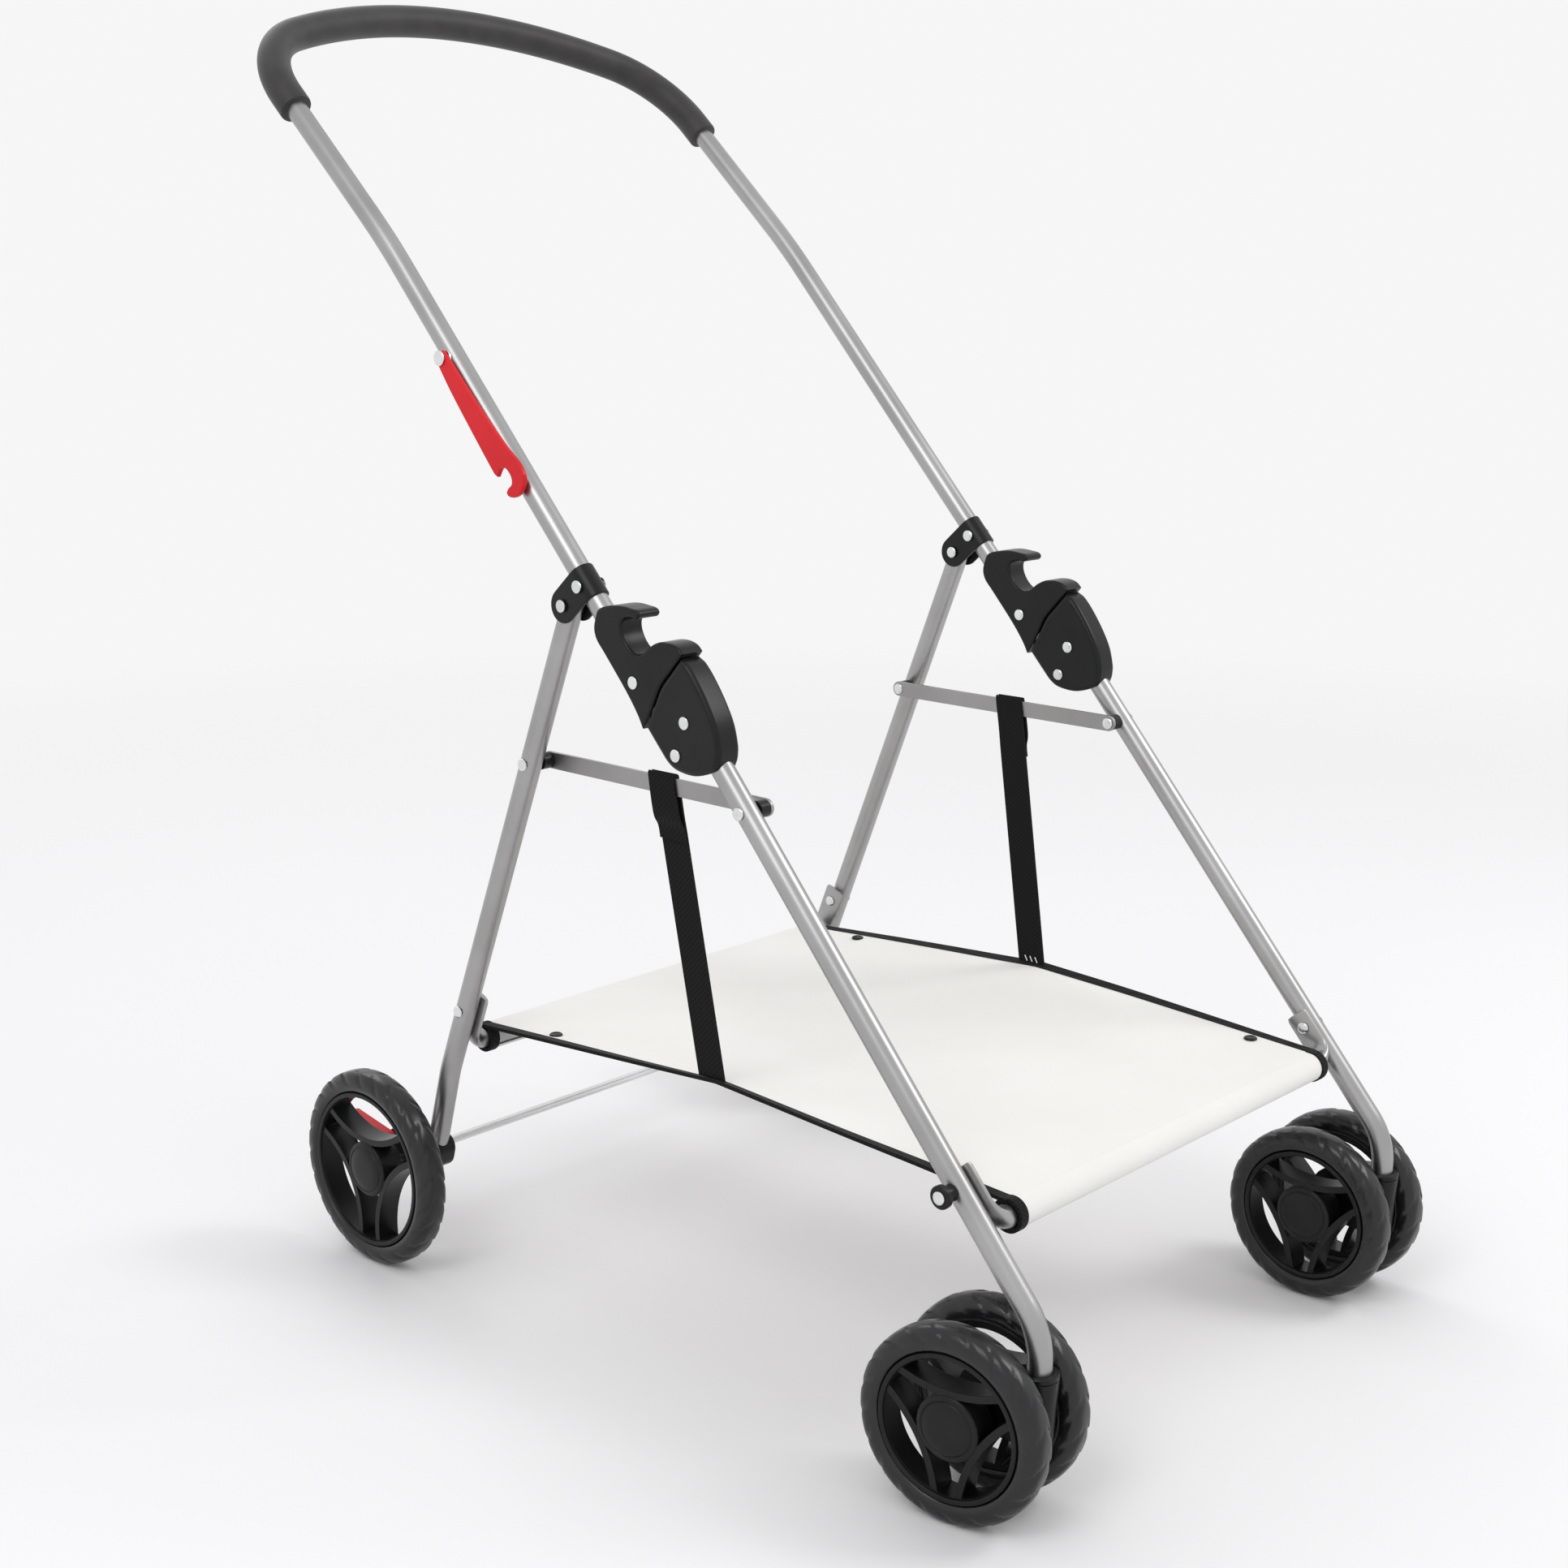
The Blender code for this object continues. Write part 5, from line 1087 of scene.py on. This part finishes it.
# %% Shape of the sheet
HEM = 9.8 * MM
HEM_WRAP = math.radians(205)
HALF_WIDTH = 188 * MM
LIFT = 16.5 * MM
SAG = 12 * MM
RIPPLE = 1.6 * MM
CREASE_SOFTNESS = 0.14
CLOTH_THICKNESS = 1.4 * MM


def sheet_point(across, share):
    """A point on the sheet's middle surface, from -1 to 1 across and 0 to 1 along it."""
    y = FRONT_CROSS.y + (REAR_CROSS.y - FRONT_CROSS.y) * share
    level = FRONT_CROSS.z + (REAR_CROSS.z - FRONT_CROSS.z) * share + HEM
    edge = across ** 2
    from_straps = math.hypot(share - 0.5, CREASE_SOFTNESS * (1 - edge))
    lift = LIFT * max(1 - from_straps / 0.5, 0)
    bulge = math.sin(math.pi * min(max(share, 0), 1))
    ripple = noise.noise(Vector((across * 2.2, share * 3.5, 0.3))) * RIPPLE
    return Vector((across * HALF_WIDTH, y, level + lift * edge - bulge * SAG * (1 - edge) + bulge * ripple))


def hem_rows(across, place, way, steps=22):
    """Points round a cross tube from the top of its hem to the hem's free edge."""
    rows = []
    for step in range(steps + 1):
        angle = math.pi / 2 + way * HEM_WRAP * step / steps
        out = HEM * math.cos(angle)
        up = HEM * math.sin(angle)
        rows.append(Vector((across * HALF_WIDTH, place.y + out, place.z + up)))
    return rows


def span_rows(across, steps=70):
    """Points of the sheet between the tops of the two hems."""
    return [sheet_point(across, step / steps) for step in range(steps + 1)]


def grid_shape(lines, thickness):
    """A skin through lines of points, thickened evenly about it."""
    bm = bmesh.new()
    grid = [[bm.verts.new(point) for point in line] for line in lines]
    for first, second in zip(grid, grid[1:]):
        for index in range(len(first) - 1):
            bm.faces.new((first[index], first[index + 1], second[index + 1], second[index]))
    bmesh.ops.recalc_face_normals(bm, faces=bm.faces)
    if thickness:
        bm.normal_update()
        offsets = {vertex: vertex.normal * thickness / 2 for vertex in bm.verts}
        for vertex, offset in offsets.items():
            vertex.co -= offset
        bmesh.ops.solidify(bm, geom=bm.faces[:], thickness=-thickness)
    return bm


print("sheet tools ready")

# %% Basket sheet
columns = [-0.995 + 1.99 * column / 44 for column in range(45)]
rows = [span_rows(across) + hem_rows(across, REAR_CROSS, -1)[1:] for across in columns]
sheet = piece("sheet", grid_shape(rows, CLOTH_THICKNESS), CLOTH, "front_frame",
              ["basket_sheet"], angle=60)
rows = [hem_rows(across, FRONT_CROSS, 1) for across in columns]
front_hem = piece("front_hem", grid_shape(rows, CLOTH_THICKNESS), CLOTH, "front_frame",
                  angle=60)
print("sheet and front hem")

# %% [markdown]
# A dark tape binds the side edges and closes the ends of the hems, and four snaps hold the
# corners. The binding is a narrow strip of the same surface, a little thicker and wider
# than the cloth, so the two never lie in one plane.

# %% Binding, hem ends and snaps
trim = []
ring_middle = HALF_WIDTH / MM - 3.4
ring = [(ring_middle - 4, 9), (ring_middle - 4, 11.2), (ring_middle - 3.4, 11.6),
        (ring_middle + 3.4, 11.6), (ring_middle + 4, 11.2), (ring_middle + 4, 9)]
button = [(0, 0), (0, 5), (0.8, 5), (1.5, 4.4), (1.7, 3.2), (1.2, 2.6), (1.2, 0)]
for name, side in SIDES:
    lines = [span_rows(across * side) for across in (1.008, 0.988, 0.966)]
    strip = grid_shape(lines if side < 0 else lines[::-1], 2.6 * MM)
    trim.append(piece("binding_" + name, strip, BINDING, "front_frame", angle=60))
    for tag, place in (("front", FRONT_CROSS), ("rear", REAR_CROSS)):
        band = to_side(moved(turned(ring, 48, closed=True), place), side, 0)
        hem_end = piece(f"{tag}_hem_end_{name}", band, BINDING, "front_frame")
        if tag == "rear":
            trim.append(hem_end)
    for tag, share in (("rear", 1 - 0.136), ("front", 0.092)):
        place = sheet_point(side * 0.925, share) + Vector((0, 0, 0.8 * MM))
        snap = moved(upright(turned(button, 28)), place)
        trim.append(piece(f"snap_{tag}_{name}", snap, BLACK, "front_frame"))
print("trim pieces", len(trim))

# %% [markdown]
# When the frame folds, the rear tube swings in under the front one. No joint joins the two
# tubes directly, so the sheet can't bend between them. Here the sheet and its trim only get
# meshes of their own, and no gathering is drawn. The front hem stays on its tube.

# %% Own meshes for the sheet and its trim
for soft in [sheet] + trim:
    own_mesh(soft)

# %% [markdown]
# ## Straps
#
# A strap is one length of tape, sewn to the sheet's edge, looped over the link bar and sewn
# back on itself. Its path is drawn once as seen from behind, and the tape's width is laid
# along it. The tape is made on the link bar's body, then taken off it with its place baked
# into its mesh, so it rides on no body. Three white stitches hold the foot.

# %% Straps
STRAP_WIDTH = 25 * MM
STRAP_FALL = 215 * MM
STITCH_FALL = 212 * MM
LEAN = 0.165
link_middle = LINK_FRONT.lerp(LINK_REAR, 0.453)
strap_top = link_middle.z + 6.8 * MM
low_share = (link_middle.y - LEAN * STRAP_FALL - FRONT_CROSS.y) / (REAR_CROSS.y - FRONT_CROSS.y)
for name, side in SIDES:
    foot = sheet_point(0.99, low_share) + Vector((0, 0, 1 * MM))
    foot_x = foot.x - LEG_PLANE
    inner = -(BAR_INNER + 0.8 * MM)
    outer = -(BAR_OUTER - 0.8 * MM)
    tail = link_middle.z - 32 * MM
    loop = [(inner - 1.2 * MM, tail), (inner - 0.4 * MM, tail + 14 * MM), (inner, strap_top - 1.5 * MM),
            (inner + 1.2 * MM, strap_top), (outer - 1.2 * MM, strap_top), (outer, strap_top - 1.5 * MM),
            (outer - 0.2 * MM, tail + 12 * MM), (inner + 0.9 * MM, tail + 3 * MM),
            (inner + 0.4 * MM, tail - 6 * MM)]
    run = smooth_run(loop, 4) + [loop[-1]]
    fall = [Vector((foot_x, foot.z)).lerp(run[0], step / 24) for step in range(24)]
    lines = []
    for x, z in fall + run:
        y = link_middle.y + LEAN * (z - strap_top)
        lines.append([Vector((x, y + (share - 0.5) * STRAP_WIDTH, z)) for share in (0, 0.06, 0.5, 0.94, 1)])
    tape = piece("tape_" + name, to_side(grid_shape(lines, 1.3 * MM), side), WEBBING, "link_" + name,
                 ["strap_" + name], angle=60)
    tape.parent = None
    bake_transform(tape)
    for step in range(3):
        along = link_middle.y - LEAN * STITCH_FALL + (step - 1) * 5 * MM
        spot = Vector((side * (foot.x - 0.9 * MM), along, foot.z + 3 * MM))
        reach = Vector((0, 1.2, 2.2)) * MM
        thread = [spot - reach, spot - reach * 0.5, spot + reach * 0.5, spot + reach]
        stitch = round_bar(thread, 0.45 * MM, 10)
        piece(f"bar_stitch_{name}_{step}", stitch, THREAD, "front_frame")
print("straps", round((strap_top - foot.z) / MM), "mm tall")

# %% [markdown]
# ## Latch springs
#
# A spring inside the handle pushes each lever back over its housing. A Screw modifier could
# wind it, but a path from a loop needs no helper and can follow the slanted tube. The
# spring shortens as its lever slides up, but here its coils are evenly spaced.

# %% Latch springs
SPRING_LOW = 62.8
SPRING_HIGH = 136.1
SPRING_RADIUS = 5
SPRING_TURNS = 7
STEPS_PER_TURN = 28
for name, side in SIDES:
    wire = []
    for step in range(SPRING_TURNS * STEPS_PER_TURN + 1):
        share = step / (SPRING_TURNS * STEPS_PER_TURN)
        angle = math.tau * SPRING_TURNS * share
        along = SPRING_LOW + (SPRING_HIGH - SPRING_LOW) * share
        wire.append(on_handle(along, SPRING_RADIUS * math.sin(angle), SPRING_RADIUS * math.cos(angle)))
    coil = to_side(round_bar(wire, 0.6 * MM, 10), side)
    spring = piece("spring_" + name, coil, STEEL, "handle", ["latch_spring_" + name],
                   angle=60)
    top = on_handle(SPRING_HIGH, 0, side * LEG_PLANE / MM)
    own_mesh(spring)
print("springs", round(SPRING_HIGH - SPRING_LOW, 1), "mm long")

# %% [markdown]
# ## Floor, light and camera
#
# The photograph was taken in a white sweep. The floor here is a pale plane that fades to
# nothing with distance, so that no horizon shows against the pale world. The world is at
# full strength for what the camera and reflections see, and a little weaker as a light, so
# the lamps can shape the tubes. The key light stands on the right, as in the photograph.

# %% Floor
floor_shape = bmesh.new()
bmesh.ops.create_grid(floor_shape, x_segments=1, y_segments=1, size=4)
floor_mesh = bpy.data.meshes.new("floor")
floor_shape.to_mesh(floor_mesh)
floor_shape.free()
floor = bpy.data.objects.new("floor", floor_mesh)
floor_material, tree, shader = new_material("floor", 0.8, Specular_IOR_Level=0.2)
shader.inputs["Base Color"].default_value = (*linear("f5f4f5"), 1)
place = add_node(tree, "ShaderNodeTexCoord").outputs["Object"]
reach = add_node(tree, "ShaderNodeVectorMath", {0: place}, operation="LENGTH").outputs["Value"]
fade = add_node(tree, "ShaderNodeMapRange", {"Value": reach, "From Min": 0.9, "From Max": 3.2},
                interpolation_type="SMOOTHSTEP").outputs["Result"]
clear = add_node(tree, "ShaderNodeBsdfTransparent").outputs["BSDF"]
mixed = add_node(tree, "ShaderNodeMixShader", {0: fade, 1: shader.outputs["BSDF"], 2: clear})
tree.links.new(mixed.outputs["Shader"], tree.nodes["Material Output"].inputs["Surface"])
floor_mesh.materials.append(floor_material)
bpy.context.scene.collection.objects.link(floor)
print("floor")

# %% World
world = bpy.data.worlds.new("studio")
world.use_nodes = True
tree = world.node_tree
sky = tree.nodes["Background"]
sky.inputs["Color"].default_value = (*linear("f6f6f7"), 1)
ray = add_node(tree, "ShaderNodeLightPath").outputs
seen = ray["Is Camera Ray"]
for kind in ("Is Glossy Ray", "Is Transmission Ray"):
    seen = add_node(tree, "ShaderNodeMath", {0: seen, 1: ray[kind]}, operation="MAXIMUM").outputs["Value"]
tree.links.new(spread(tree, seen, 0.8, 1.0), sky.inputs["Strength"])
bpy.context.scene.world = world
bpy.context.scene.view_settings.view_transform = "Standard"
print("world")


# %% Lamps
def area_light(name, place, target, size, power):
    """A soft square light that faces a target."""
    data = bpy.data.lights.new(name, "AREA")
    data.size = size
    data.energy = power
    light = bpy.data.objects.new(name, data)
    light.location = place
    light.rotation_euler = (Vector(target) - Vector(place)).to_track_quat("-Z", "Y").to_euler()
    bpy.context.scene.collection.objects.link(light)


area_light("key", (1.5, -1.7, 2.3), (0, 0, 0.4), 1.0, 22)
area_light("fill", (-1.9, -0.5, 2.2), (0, 0, 0.4), 1.2, 14)
area_light("back", (0.6, 2.2, 2.2), (0, 0, 0.5), 1.3, 10)
print("lamps", len(bpy.data.lights))

# %% [markdown]
# The camera's place, direction and lens were solved from the photograph, with the wheels on
# one level floor and both sides of the frame alike.

# %% Camera
camera_data = bpy.data.cameras.new("camera")
camera_data.sensor_width = 36
camera_data.lens = 51.35
camera = bpy.data.objects.new("camera", camera_data)
camera.location = (-1.2379, -1.1209, 0.7475)
look = Vector((0.7176, 0.6615, -0.2183))
camera.rotation_euler = look.to_track_quat("-Z", "Y").to_euler()
bpy.context.scene.collection.objects.link(camera)
bpy.context.scene.camera = camera
print("camera", camera_data.lens, "mm lens")
